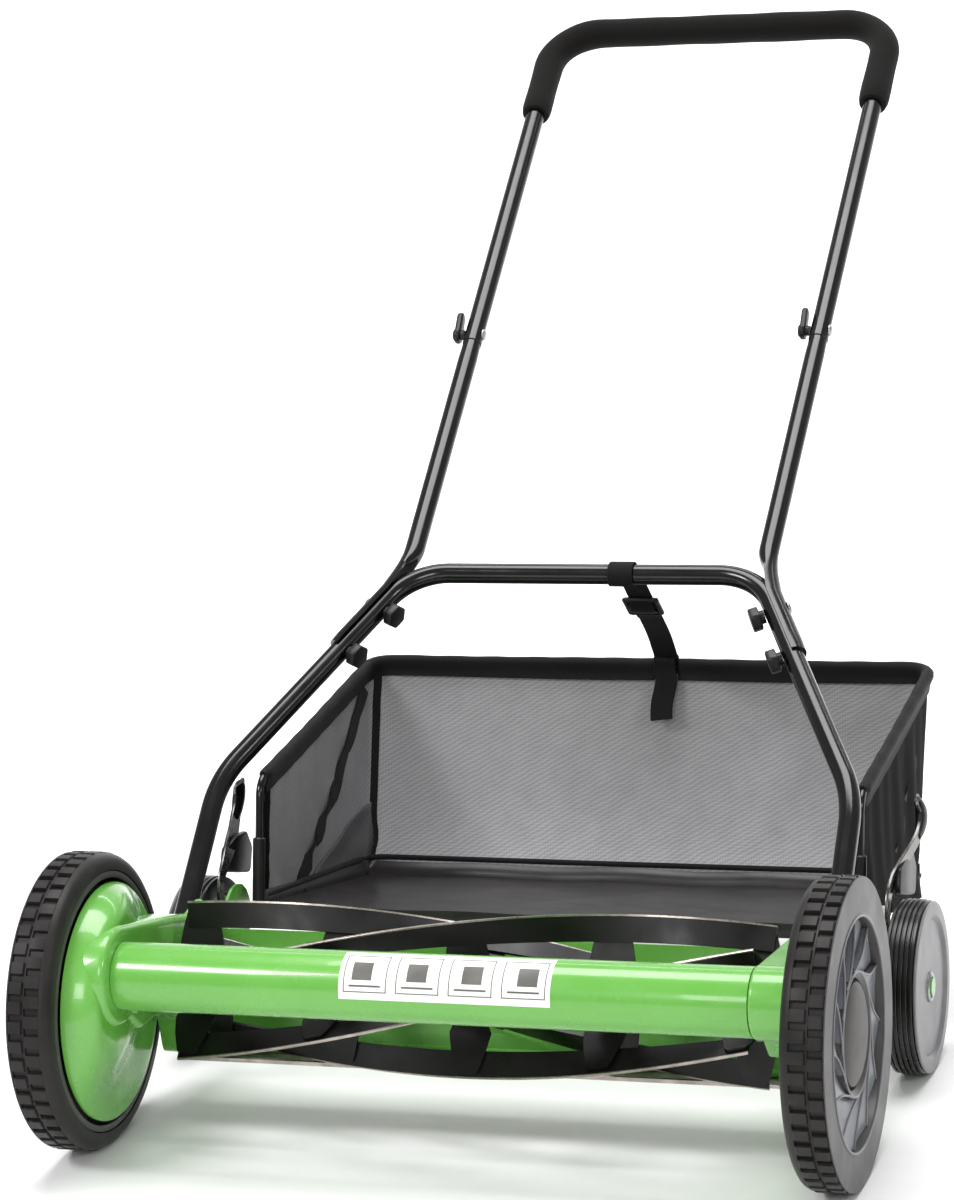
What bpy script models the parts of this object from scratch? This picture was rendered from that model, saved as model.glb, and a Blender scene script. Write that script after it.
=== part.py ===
"""Push reel mower with a rear grass catcher.

Units are metres and +Z is up. X runs across the machine, -Y is its front.
Every Y below is counted from the front axle; the empty "mower" carries the
whole machine forward, so that the origin is under the middle of its box.
"""
import math

import bmesh
import bpy
from mathutils import Matrix, Vector
from mathutils.geometry import convex_hull_2d

# Whole machine
AXLE_TO_CENTRE = 0.4675
GAP = 0.0003

# Front wheels, turned about X at the axle
AXLE = (0.0, 0.127)
WHEEL_RADIUS = 0.127
WHEEL_INNER_X = 0.3069
WHEEL_OUTER_X = 0.3449
TYRE_SEAT_RADIUS = 0.1115
RIM_INNER_RADIUS = 0.106
FACE_RING_RADIUS = 0.095
HUB_RING_RADIUS = 0.051
HUB_CAP_RADIUS = 0.0428
HUB_CAP_X = 0.347
WEB_X = 0.332
AXLE_PIN_RADIUS = 0.0063
BORE_RADIUS = 0.0068

# Drive: internal ring gear in the wheel, pinion on the reel shaft
GEAR_MODULE = 0.003
RING_TEETH = 50
PINION_TEETH = 10
PRESSURE_ANGLE = math.radians(20)
TOOTH_THINNING = 0.0004
RING_TIP_RADIUS = 0.0733
RING_ROOT_RADIUS = 0.0786
RING_BACK_RADIUS = 0.086
PINION_TIP_RADIUS = 0.0172
PINION_ROOT_RADIUS = 0.0112

# Reel
REEL = (0.060, 0.127)
REEL_RADIUS = 0.0714
BLADE_ROOT_RADIUS = 0.048
BLADE_THICKNESS = 0.0025
BLADE_END_X = 0.2545
BLADE_COUNT = 5
BLADE_TWIST = math.radians(214)
BLADE_PHASE = math.radians(104.1)
SPIDER_STATIONS = (-0.244, -0.122, 0.0, 0.122, 0.244)
SPIDER_THICKNESS = 0.003
SHAFT_RADIUS = 0.0065

# Frame
TUBE = (-0.044, 0.165)
TUBE_RADIUS = 0.0287
TUBE_WALL = 0.0015
COLLAR_RADII = {"left": 0.042, "right": 0.0325}
PLATE_X = 0.272
PLATE_THICKNESS = 0.0025
COVER_X = 0.300
COVER_RADIUS = 0.1016
COVER_BORE_RADIUS = 0.0095
DOME_X = 0.2795
HANDLE_PIVOT = (0.125, 0.140)
PIVOT_BOLT_RADIUS = 0.004

# Rear wheels on their height arms
REAR_AXLE = (0.28, 0.0762)
REAR_RADIUS = 0.0762
REAR_INNER_X = 0.3175
REAR_OUTER_X = 0.3475
REAR_SEAT_RADIUS = 0.060
ARM_PIVOT = (0.17, 0.100)
ARM_X = 0.3035
CATCHER_PEG = (0.2875, 0.112)

# Handle, on its centre lines
HANDLE_TUBE_RADIUS = 0.0095
HANDLE_WALL = 0.0012
LEG_FOOT = Vector((0.2935, 0.117, 0.132))
LEG_BEND = Vector((0.2914, 0.2417, 0.2575))
LEG_CORNER = Vector((0.166, 0.446, 0.4051))
LEG_BEND_RADIUS = 0.12
CORNER_RADIUS = 0.060
STRUT_BEND = Vector((0.170, 0.446, 0.4051))
TOP_CORNER = Vector((0.1786, 1.0469, 0.8544))
TOP_RADIUS = 0.050
JOINT_FRACTION = 0.394
STRUT_OVERLAP = 0.107
SPIGOT_LENGTH = 0.040
GRIP_RADIUS = 0.015
GRIP_LEG = 0.073
STRUT_RADIUS = 0.0130
STRUT_HOLLOW = 0.0100
CLAMP_POSITIONS = {"upper": 0.050, "lower": 0.105}

# Catcher, as a side profile in (Y, Z)
BAG_HALF_WIDTH = 0.284
BAG_FRONT_LOW = (0.298, 0.1215)
BAG_BACK_LOW = (0.574, 0.069)
BAG_BACK_TOP = (0.6385, 0.268)
BAG_FRONT_TOP = (0.324, 0.2315)
BAG_WALL = 0.004
WIRE_RADIUS = 0.0035
WIRE_HALF_WIDTH = 0.2815
WIRE_RISE = 0.0065
STRAP_WIDTH = 0.020
STRAP_THICKNESS = 0.0016
STRAP_X = 0.0375
STRAP_END_X = 0.0206

SIDES = {"left": -1, "right": 1}

# Colour, roughness and metallic value of each finish
FINISHES = {
    "green_paint": ((0.20, 0.55, 0.11), 0.30, 0.0),
    "black_paint": ((0.012, 0.012, 0.012), 0.25, 0.0),
    "reel_paint": ((0.008, 0.008, 0.007), 0.35, 0.0),
    "lever_steel": ((0.016, 0.015, 0.015), 0.35, 0.0),
    "wire_steel": ((0.012, 0.011, 0.011), 0.30, 0.0),
    "bare_steel": ((0.35, 0.33, 0.31), 0.35, 1.0),
    "tyre_rubber": ((0.028, 0.025, 0.025), 0.75, 0.0),
    "wheel_plastic": ((0.17, 0.16, 0.155), 0.50, 0.0),
    "rear_hub": ((0.46, 0.45, 0.45), 0.45, 0.0),
    "gear_steel": ((0.20, 0.19, 0.18), 0.40, 1.0),
    "bush_bronze": ((0.35, 0.24, 0.12), 0.45, 1.0),
    "grip_foam": ((0.014, 0.013, 0.013), 0.90, 0.0),
    "knob_plastic": ((0.015, 0.015, 0.015), 0.45, 0.0),
    "catcher_fabric": ((0.30, 0.30, 0.30), 0.85, 0.0),
    "tray_plastic": ((0.06, 0.058, 0.058), 0.40, 0.0),
    "webbing": ((0.014, 0.014, 0.014), 0.85, 0.0),
}


def clear_scene():
    """Remove every object of the file."""
    for item in list(bpy.data.objects):
        bpy.data.objects.remove(item, do_unlink=True)


def make_materials():
    """Return one Principled material for each finish."""
    materials = {}
    for name, (colour, roughness, metallic) in FINISHES.items():
        material = bpy.data.materials.new(name)
        material.use_nodes = True
        shader = material.node_tree.nodes["Principled BSDF"]
        shader.inputs["Base Color"].default_value = (*colour, 1.0)
        shader.inputs["Roughness"].default_value = roughness
        shader.inputs["Metallic"].default_value = metallic
        materials[name] = material
    return materials


# Mesh making

def circle(centre, across, up, radius, sides, phase=0.0):
    """Return a ring of points about centre, in the plane of across and up."""
    ring = []
    for index in range(sides):
        angle = phase + 2 * math.pi * index / sides
        ring.append(centre + radius * (math.cos(angle) * across + math.sin(angle) * up))
    return ring


def loft(rings, closed=False):
    """Skin a row of rings; a closed row has no end faces."""
    bm = bmesh.new()
    loops = [[bm.verts.new(point) for point in ring] for ring in rings]
    pairs = list(zip(loops, loops[1:]))
    if closed:
        pairs.append((loops[-1], loops[0]))
    for first, second in pairs:
        count = len(first)
        for index in range(count):
            following = (index + 1) % count
            bm.faces.new((first[index], first[following], second[following], second[index]))
    if not closed:
        bm.faces.new(loops[0])
        bm.faces.new(loops[-1])
    return bm


def turned(profile, centre, segments, closed=True):
    """Spin a profile of (x, radius) points about the X line through centre.

    Half a segment of phase lays a flat of the turned shape on the ground.
    """
    bm = bmesh.new()
    phase = -math.pi / 2 + math.pi / segments
    outward = Vector((0.0, math.cos(phase), math.sin(phase)))
    middle = Vector((0.0, *centre))
    points = [bm.verts.new(middle + Vector((x, 0, 0)) + radius * outward) for x, radius in profile]
    edges = [bm.edges.new(pair) for pair in zip(points, points[1:])]
    if closed:
        edges.append(bm.edges.new((points[-1], points[0])))
    bmesh.ops.spin(bm, geom=points + edges, cent=middle, axis=(1, 0, 0), angle=2 * math.pi,
                   steps=segments, use_merge=True)
    bmesh.ops.remove_doubles(bm, verts=bm.verts, dist=1e-6)
    return bm


def plate(outline, low_x, high_x):
    """Extrude a (Y, Z) outline from low_x to high_x."""
    bm = bmesh.new()
    face = bm.faces.new([bm.verts.new((low_x, y, z)) for y, z in outline])
    extruded = bmesh.ops.extrude_face_region(bm, geom=[face])
    moved = [item for item in extruded["geom"] if isinstance(item, bmesh.types.BMVert)]
    bmesh.ops.translate(bm, verts=moved, vec=(high_x - low_x, 0, 0))
    return bm


def rod(centre, radius, low_x, high_x, segments=16):
    """Return a solid round bar along X."""
    profile = [(low_x, 0.0), (low_x, radius), (high_x, radius), (high_x, 0.0)]
    return turned(profile, centre, segments, closed=False)


def box(low, high):
    """Return a box between two corners."""
    outline = [(low[1], low[2]), (high[1], low[2]), (high[1], high[2]), (low[1], high[2])]
    return plate(outline, low[0], high[0])


def arc(centre, radius, start, end, steps):
    """Return (y, z) points on an arc, with angles in degrees."""
    points = []
    for index in range(steps + 1):
        angle = math.radians(start + (end - start) * index / steps)
        points.append((centre[0] + radius * math.cos(angle), centre[1] + radius * math.sin(angle)))
    return points


def hull_outline(discs, steps=14):
    """Return the outline stretched round discs given as (y, z, radius)."""
    points = [point for y, z, radius in discs for point in arc((y, z), radius, 0, 360, steps)[:-1]]
    return [points[index] for index in convex_hull_2d(points)]


def inset_outline(outline, distance):
    """Return the outline moved inwards by distance at each side."""
    count = len(outline)
    area = 0.0
    for (y0, z0), (y1, z1) in zip(outline, outline[1:] + outline[:1]):
        area += y0 * z1 - y1 * z0
    turn = math.copysign(1.0, area)
    result = []
    for index in range(count):
        before = Vector(outline[index - 1])
        here = Vector(outline[index])
        after = Vector(outline[(index + 1) % count])
        first = (here - before).normalized()
        second = (after - here).normalized()
        normal = Vector((-first.y - second.y, first.x + second.x)).normalized() * turn
        cosine = normal.dot(Vector((-first.y, first.x)) * turn)
        result.append(tuple(here + normal * (distance / max(cosine, 0.5))))
    return result


def rounded_path(points, radii, steps):
    """Replace each inner corner of a path by an arc of its own radius."""
    path = [points[0]]
    for before, corner, after, radius in zip(points, points[1:], points[2:], radii):
        incoming = (before - corner).normalized()
        outgoing = (after - corner).normalized()
        half = incoming.angle(outgoing) / 2
        bisector = (incoming + outgoing).normalized()
        middle = corner + bisector * (radius / math.sin(half))
        start = corner + incoming * (radius / math.tan(half))
        axis = incoming.cross(outgoing)
        for index in range(steps + 1):
            turn = Matrix.Rotation(-(math.pi - 2 * half) * index / steps, 3, axis)
            path.append(middle + turn @ (start - middle))
    path.append(points[-1])
    return path


def path_frames(path):
    """Return (point, across, up) along a path, turning no more than it must."""
    frames = []
    across = None
    for index, point in enumerate(path):
        before = path[max(index - 1, 0)]
        after = path[min(index + 1, len(path) - 1)]
        tangent = ((after - point).normalized() + (point - before).normalized()).normalized()
        if across is None:
            across = tangent.orthogonal()
        across = (across - tangent * across.dot(tangent)).normalized()
        frames.append((point, across, tangent.cross(across)))
    return frames


def hollow_tube(frames, outer, inner, sides):
    """Skin a tube open at both ends; outer and inner give a radius for each frame."""
    skin = [circle(*frame, radius, sides) for frame, radius in zip(frames, outer)]
    bore = [circle(*frame, radius, sides) for frame, radius in zip(frames, inner)]
    return loft(skin + bore[::-1], closed=True)


def ribbon(path, widths, thicknesses, across=Vector((1, 0, 0))):
    """Skin a flat strip along a path; across is the direction of its width."""
    rings = []
    for (point, *_), width, thickness, index in zip(path_frames(path), widths, thicknesses,
                                                    range(len(path))):
        tangent = path[min(index + 1, len(path) - 1)] - path[max(index - 1, 0)]
        normal = tangent.cross(across).normalized()
        corners = ((-1, -1), (1, -1), (1, 1), (-1, 1))
        rings.append([point + across * (width / 2 * a) + normal * (thickness / 2 * b)
                      for a, b in corners])
    return loft(rings)


class Assembly:
    """Puts meshes into named objects under the one empty of the machine."""

    def __init__(self):
        self.materials = make_materials()
        self.root = bpy.data.objects.new("mower", None)
        self.root.location = (0, -AXLE_TO_CENTRE, 0)
        bpy.context.scene.collection.objects.link(self.root)

    def add(self, name, bm, finish, origin=(0, 0, 0), side=1):
        """Make an object; side -1 mirrors a right-hand mesh to the left."""
        place = Vector(origin)
        if side < 0:
            bmesh.ops.scale(bm, vec=(-1, 1, 1), verts=bm.verts)
            place.x = -place.x
        bmesh.ops.translate(bm, verts=bm.verts, vec=-place)
        bmesh.ops.recalc_face_normals(bm, faces=bm.faces)
        mesh = bpy.data.meshes.new(name)
        bm.to_mesh(mesh)
        bm.free()
        mesh.shade_smooth()
        mesh.set_sharp_from_angle(angle=math.radians(32))
        mesh.materials.append(self.materials[finish])
        item = bpy.data.objects.new(name, mesh)
        item.location = place
        item.parent = self.root
        bpy.context.scene.collection.objects.link(item)
        return item

    def shape(self, item, bm, operation="DIFFERENCE", side=1):
        """Cut a mesh from an object, or join it to the object."""
        tool = self.add(f"{item.name}.tool", bm, "bare_steel", side=side)
        tool.hide_render = True
        tool.display_type = "WIRE"
        modifier = item.modifiers.new(tool.name, "BOOLEAN")
        modifier.operation = operation
        modifier.solver = "EXACT"
        modifier.object = tool


# Gears

def involute(angle):
    """Return the involute function of a pressure angle."""
    return math.tan(angle) - angle


def tooth_half_angle(radius, teeth, thinning):
    """Return half the angle of an involute tooth at a radius."""
    pitch_radius = GEAR_MODULE * teeth / 2
    base_radius = pitch_radius * math.cos(PRESSURE_ANGLE)
    pressure = math.acos(min(1.0, base_radius / radius))
    thickness = math.pi * GEAR_MODULE / 2 - thinning
    return thickness / (2 * pitch_radius) + involute(PRESSURE_ANGLE) - involute(pressure)


def gear_outline(centre, teeth, radii, thinning):
    """Return the (y, z) outline of an external gear with a tooth towards +Y."""
    outline = []
    for tooth in range(teeth):
        middle = 2 * math.pi * tooth / teeth
        rising = [(radius, middle - tooth_half_angle(radius, teeth, thinning)) for radius in radii]
        falling = [(radius, middle + tooth_half_angle(radius, teeth, thinning))
                   for radius in reversed(radii)]
        for radius, angle in rising + falling:
            outline.append((centre[0] + radius * math.cos(angle),
                            centre[1] + radius * math.sin(angle)))
    return outline


# Front end

def build_frame(assembly):
    """Front tube, cutter bar and bed knife, which tie the side plates together."""
    end = PLATE_X - GAP
    wall = TUBE_RADIUS - TUBE_WALL
    profile = [(-end, TUBE_RADIUS), (end, TUBE_RADIUS), (end, wall), (-end, wall)]
    assembly.add("front_tube", turned(profile, TUBE, 24), "green_paint")
    bar = [(0.088, 0.0562), (0.119, 0.0562), (0.1385, 0.092), (0.1515, 0.1470),
           (0.1485, 0.1475), (0.1355, 0.0935), (0.1170, 0.0592), (0.088, 0.0592)]
    assembly.add("cutter_bar", plate(bar, -end, end), "green_paint")
    knife = [(0.0705, 0.0520), (0.105, 0.0520), (0.105, 0.0555), (0.0760, 0.0555),
             (0.0725, 0.0560), (0.0708, 0.0553)]
    assembly.add("bed_knife", plate(knife, -end, end), "bare_steel")


def side_plate_outline(collar_radius):
    """Return the pressed outline: round at the tube, with an ear at the handle."""
    outline = arc(TUBE, collar_radius, 75, 285, 14)
    outline += [(-0.012, 0.1075), (0.020, 0.1075), (0.060, 0.100), (0.083, 0.085), (0.090, 0.050)]
    outline += [(0.125, 0.046)]
    outline += [(0.187, 0.080), (0.192, 0.105), (0.180, 0.128)]
    outline += [(0.160, 0.150), (0.153, 0.170), (0.141, 0.177), (0.126, 0.176)]
    outline += [(0.112, 0.172), (0.070, 0.183)]
    return outline


def flat_cover():
    """Return the profile of the right cover: flat, with a dished rim."""
    low = COVER_X + GAP
    return [(low, COVER_BORE_RADIUS), (low, 0.080), (low + 0.0075, COVER_RADIUS),
            (low + 0.0095, COVER_RADIUS), (low + 0.0025, 0.0805), (low + 0.002, COVER_BORE_RADIUS)]


def domed_cover():
    """Return the profile of the left cover: a dome that stands in to the side plate."""
    return [(DOME_X, COVER_BORE_RADIUS), (DOME_X, 0.086), (DOME_X + 0.004, 0.0955),
            (COVER_X + 0.0045, COVER_RADIUS), (COVER_X + 0.0070, COVER_RADIUS),
            (DOME_X + 0.0057, 0.0935), (DOME_X + 0.002, 0.0855), (DOME_X + 0.002, COVER_BORE_RADIUS)]


def build_side(assembly, name, side):
    """Side plate, wheel cover, stub axle, reel bearing and pivot bolt of one side."""
    outline = side_plate_outline(COLLAR_RADII[name])
    item = assembly.add(f"side_plate_{name}", plate(outline, PLATE_X, COVER_X), "green_paint",
                        side=side)
    hollow = plate(inset_outline(outline, PLATE_THICKNESS), PLATE_X + PLATE_THICKNESS, COVER_X + 0.01)
    assembly.shape(item, hollow, side=side)
    slot = box((PLATE_X + PLATE_THICKNESS + 0.0001, 0.098, 0.1505), (COVER_X + 0.01, 0.175, 0.21))
    assembly.shape(item, slot, side=side)
    assembly.shape(item, rod(REEL, 0.0158, PLATE_X - 0.01, PLATE_X + 0.01, 20), side=side)
    bolt_hole = rod(HANDLE_PIVOT, PIVOT_BOLT_RADIUS + 0.0005, PLATE_X - 0.01, PLATE_X + 0.01, 12)
    assembly.shape(item, bolt_hole, side=side)

    cover = flat_cover()
    if name == "left":
        cover = domed_cover()
        clearance = rod(AXLE, COVER_RADIUS + 0.0014, DOME_X - 0.0005, COVER_X + 0.01, 40)
        assembly.shape(item, clearance, side=side)
    item = assembly.add(f"wheel_cover_{name}", turned(cover, AXLE, 30), "green_paint", side=side)
    assembly.shape(item, rod(REEL, 0.010, cover[0][0] - 0.01, cover[0][0] + 0.01), side=side)

    inner = PLATE_X + PLATE_THICKNESS + GAP
    axle = [(inner, 0.0), (inner, 0.0090), (0.3040, 0.0090), (0.3040, AXLE_PIN_RADIUS),
            (0.3355, AXLE_PIN_RADIUS), (0.3355, 0.0)]
    assembly.add(f"wheel_axle_{name}", turned(axle, AXLE, 20, closed=False), "bare_steel", side=side)
    bush = [(0.2680, 0.0152), (0.2780, 0.0152), (0.2780, BORE_RADIUS), (0.2680, BORE_RADIUS)]
    assembly.add(f"reel_bearing_{name}", turned(bush, REEL, 20), "bush_bronze", side=side)
    bolt = [(0.2665, 0.0), (0.2665, 0.0068), (0.2715, 0.0068), (0.2715, PIVOT_BOLT_RADIUS),
            (0.3035, PIVOT_BOLT_RADIUS), (0.3035, 0.0062), (0.3053, 0.0062), (0.3053, 0.0)]
    assembly.add(f"handle_pivot_bolt_{name}", turned(bolt, HANDLE_PIVOT, 12, closed=False),
                 "bare_steel", side=side)


def build_front_wheel(assembly, name, side):
    """Front wheel with its moulded ring gear, its tyre, hub cap and pinion."""
    origin = (WEB_X, *AXLE)
    seat = TYRE_SEAT_RADIUS - GAP
    wheel = [(0.3045, BORE_RADIUS), (0.3045, 0.016), (WEB_X, 0.016), (WEB_X, RIM_INNER_RADIUS),
             (0.3073, RIM_INNER_RADIUS), (0.3073, seat), (0.3445, seat), (0.3445, FACE_RING_RADIUS),
             (0.3360, FACE_RING_RADIUS - 0.002), (0.3350, HUB_RING_RADIUS + 0.001),
             (0.3420, HUB_RING_RADIUS), (0.3420, 0.0440), (0.3360, 0.0435), (0.3360, BORE_RADIUS)]
    item = assembly.add(f"front_wheel_{name}", turned(wheel, AXLE, 32), "wheel_plastic", origin, side)
    space_radii = (RING_TIP_RADIUS, RING_ROOT_RADIUS)
    spaces = gear_outline(AXLE, RING_TEETH, space_radii, -TOOTH_THINNING / 2)
    points_a_tooth = len(spaces) // RING_TEETH
    back = [point for point in arc(AXLE, RING_BACK_RADIUS, 0, 360, RING_TEETH)[:-1]
            for _ in range(points_a_tooth)]
    rings = [[Vector((x, y, z)) for y, z in outline]
             for x, outline in ((0.312, spaces), (WEB_X + 0.001, spaces), (WEB_X + 0.001, back),
                                (0.312, back))]
    gear = loft(rings, closed=True)
    bmesh.ops.remove_doubles(gear, verts=gear.verts, dist=1e-6)
    assembly.shape(item, gear, "UNION", side)

    segments = 36
    tread = WHEEL_RADIUS / math.cos(math.pi / segments)
    tyre = [(WHEEL_INNER_X, TYRE_SEAT_RADIUS + 0.0004), (WHEEL_INNER_X, tread - 0.002),
            (WHEEL_INNER_X + 0.002, tread), (WHEEL_OUTER_X - 0.002, tread),
            (WHEEL_OUTER_X, tread - 0.002), (WHEEL_OUTER_X, TYRE_SEAT_RADIUS + 0.0004)]
    assembly.add(f"front_tyre_{name}", turned(tyre, AXLE, segments), "tyre_rubber", origin, side)

    back_x = 0.3360 + GAP
    cap = [(back_x, HUB_CAP_RADIUS), (0.3405, HUB_CAP_RADIUS), (0.3455, 0.030), (HUB_CAP_X, 0.0),
           (0.3440, 0.0), (0.3430, 0.028), (back_x, 0.040)]
    assembly.add(f"hub_cap_{name}", turned(cap, AXLE, 24), "wheel_plastic", origin, side)

    flank = (PINION_ROOT_RADIUS, 0.0143, 0.0157, PINION_TIP_RADIUS)
    teeth = gear_outline(REEL, PINION_TEETH, flank, TOOTH_THINNING)
    item = assembly.add(f"pinion_{name}", plate(teeth, 0.3135, 0.3305), "gear_steel",
                        (0.322, *REEL), side)
    assembly.shape(item, rod(REEL, BORE_RADIUS, 0.30, 0.34, 20), side=side)


# Reel

def blade_angle(x, index):
    """Return the angle of a blade about the reel axis, from +Y towards +Z."""
    return BLADE_PHASE + 2 * math.pi * index / BLADE_COUNT - BLADE_TWIST * x


def reel_point(x, angle, radius, sideways):
    """Return the point at a radius along an angle, moved sideways round the reel."""
    outward = Vector((0, math.cos(angle), math.sin(angle)))
    tangent = Vector((0, -math.sin(angle), math.cos(angle)))
    return Vector((x, *REEL)) + outward * radius + tangent * sideways


def build_reel(assembly):
    """Shaft, five spiders and five helical blades."""
    end = WEB_X - 0.0006
    assembly.add("reel_shaft", rod(REEL, SHAFT_RADIUS, -end, end, 16), "bare_steel", (0, *REEL))
    half = BLADE_THICKNESS / 2
    corners = ((BLADE_ROOT_RADIUS, -half), (REEL_RADIUS, -half), (REEL_RADIUS, half),
               (BLADE_ROOT_RADIUS, half))
    stations = 22
    for index in range(BLADE_COUNT):
        rings = []
        for step in range(stations + 1):
            x = -BLADE_END_X + 2 * BLADE_END_X * step / stations
            rings.append([reel_point(x, blade_angle(x, index), *corner) for corner in corners])
        assembly.add(f"reel_blade_{index + 1}", loft(rings), "reel_paint", (0, *REEL))
    behind = half + 0.0008
    arm = ((0.040, -0.010), (0.061, -0.0055), (0.0635, -behind), (BLADE_ROOT_RADIUS - 0.001, -behind),
           (BLADE_ROOT_RADIUS - 0.001, 0.002), (0.030, 0.006))
    for number, x in enumerate(SPIDER_STATIONS, start=1):
        outline = []
        for index in range(BLADE_COUNT):
            angle = blade_angle(x, index)
            points = [reel_point(x, angle - math.pi / BLADE_COUNT, 0.019, 0)]
            points += [reel_point(x, angle, *corner) for corner in arm]
            outline += [(point.y, point.z) for point in points]
        bm = plate(outline, x - SPIDER_THICKNESS / 2, x + SPIDER_THICKNESS / 2)
        item = assembly.add(f"reel_spider_{number}", bm, "reel_paint", (x, *REEL))
        hole = rod(REEL, SHAFT_RADIUS + 0.0004, x - 0.01, x + 0.01)
        assembly.shape(item, hole)


# Rear wheels and height adjusters

def build_rear(assembly, name, side):
    """Quadrant, arm with stub axle, lever, wheel and tyre of one side."""
    quadrant = [(0.150, 0.090), (0.236, 0.092), (0.262, 0.102)]
    quadrant += arc((0.285, 0.113), 0.033, -25, 150, 8)
    quadrant += [(0.235, 0.118), (0.200, 0.121), (0.160, 0.124)]
    low = COVER_X + GAP
    item = assembly.add(f"adjuster_quadrant_{name}", plate(quadrant, low, low + 0.0025),
                        "green_paint", side=side)
    peg = rod(CATCHER_PEG, 0.004, 0.275, low + 0.001, 12)
    assembly.shape(item, peg, "UNION", side)
    assembly.shape(item, rod(ARM_PIVOT, 0.0056, 0.29, 0.31), side=side)

    origin = (ARM_X, *ARM_PIVOT)
    arm = hull_outline([(*ARM_PIVOT, 0.013), (*REAR_AXLE, 0.015), (0.272, 0.112, 0.011)])
    item = assembly.add(f"rear_arm_{name}", plate(arm, ARM_X, ARM_X + 0.003), "green_paint",
                        origin, side)
    assembly.shape(item, rod(ARM_PIVOT, 0.005, 0.290, ARM_X + 0.001), "UNION", side)
    stub = [(ARM_X + 0.002, 0.0), (ARM_X + 0.002, 0.011), (REAR_INNER_X - 0.001, 0.011),
            (REAR_INNER_X - 0.001, AXLE_PIN_RADIUS), (0.3455, AXLE_PIN_RADIUS), (0.3455, 0.0085),
            (0.3474, 0.0085), (0.3474, 0.0)]
    assembly.shape(item, turned(stub, REAR_AXLE, 16, closed=False), "UNION", side)

    path = [Vector(point) for point in (
        (0.3108, 0.270, 0.106), (0.3108, 0.274, 0.148), (0.3118, 0.294, 0.168),
        (0.3180, 0.328, 0.180), (0.3235, 0.354, 0.193), (0.3240, 0.366, 0.208),
        (0.3215, 0.362, 0.222))]
    widths = (0.008, 0.008, 0.012, 0.015, 0.016, 0.018, 0.016)
    thicknesses = (0.0025, 0.0025, 0.0025, 0.003, 0.005, 0.008, 0.006)
    assembly.add(f"height_lever_{name}", ribbon(path, widths, thicknesses), "lever_steel",
                 path[0], side)

    origin = (REAR_INNER_X, *REAR_AXLE)
    seat = REAR_SEAT_RADIUS - GAP
    wheel = [(0.3185, BORE_RADIUS), (0.3185, 0.016), (0.3300, 0.018), (0.3300, 0.054),
             (0.3195, 0.055), (0.3195, seat), (0.3462, seat), (0.3462, 0.056), (0.3440, 0.0535),
             (0.3450, BORE_RADIUS)]
    assembly.add(f"rear_wheel_{name}", turned(wheel, REAR_AXLE, 24), "rear_hub", origin, side)
    segments = 28
    tread = REAR_RADIUS / math.cos(math.pi / segments)
    tyre = [(REAR_INNER_X, REAR_SEAT_RADIUS + 0.0004), (REAR_INNER_X, tread - 0.003),
            (REAR_INNER_X + 0.003, tread), (REAR_OUTER_X - 0.003, tread),
            (REAR_OUTER_X, tread - 0.003), (REAR_OUTER_X, REAR_SEAT_RADIUS + 0.0004)]
    assembly.add(f"rear_tyre_{name}", turned(tyre, REAR_AXLE, segments), "tyre_rubber", origin, side)


# Handle

def mirrored(points):
    """Return the points reflected to the other side, in reverse order."""
    return [Vector((-point.x, point.y, point.z)) for point in reversed(points)]


def strut_ring(centre, outboard, normal, roundness, sides=12):
    """Return a strut section between a crescent (0) and a full round (1)."""
    half = sides // 2
    outer = STRUT_RADIUS + (HANDLE_TUBE_RADIUS - STRUT_RADIUS) * roundness
    inner = STRUT_HOLLOW + (-HANDLE_TUBE_RADIUS - STRUT_HOLLOW) * roundness
    height = STRUT_HOLLOW + (HANDLE_TUBE_RADIUS - STRUT_HOLLOW) * roundness
    ring = []
    for index in range(half + 1):
        angle = math.pi * (index / half - 0.5)
        ring.append(centre + outboard * (outer * math.cos(angle)) + normal * (outer * math.sin(angle)))
    for index in range(1, half):
        angle = math.pi * (0.5 - index / half)
        ring.append(centre + outboard * (inner * math.cos(angle)) + normal * (height * math.sin(angle)))
    return ring


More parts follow.
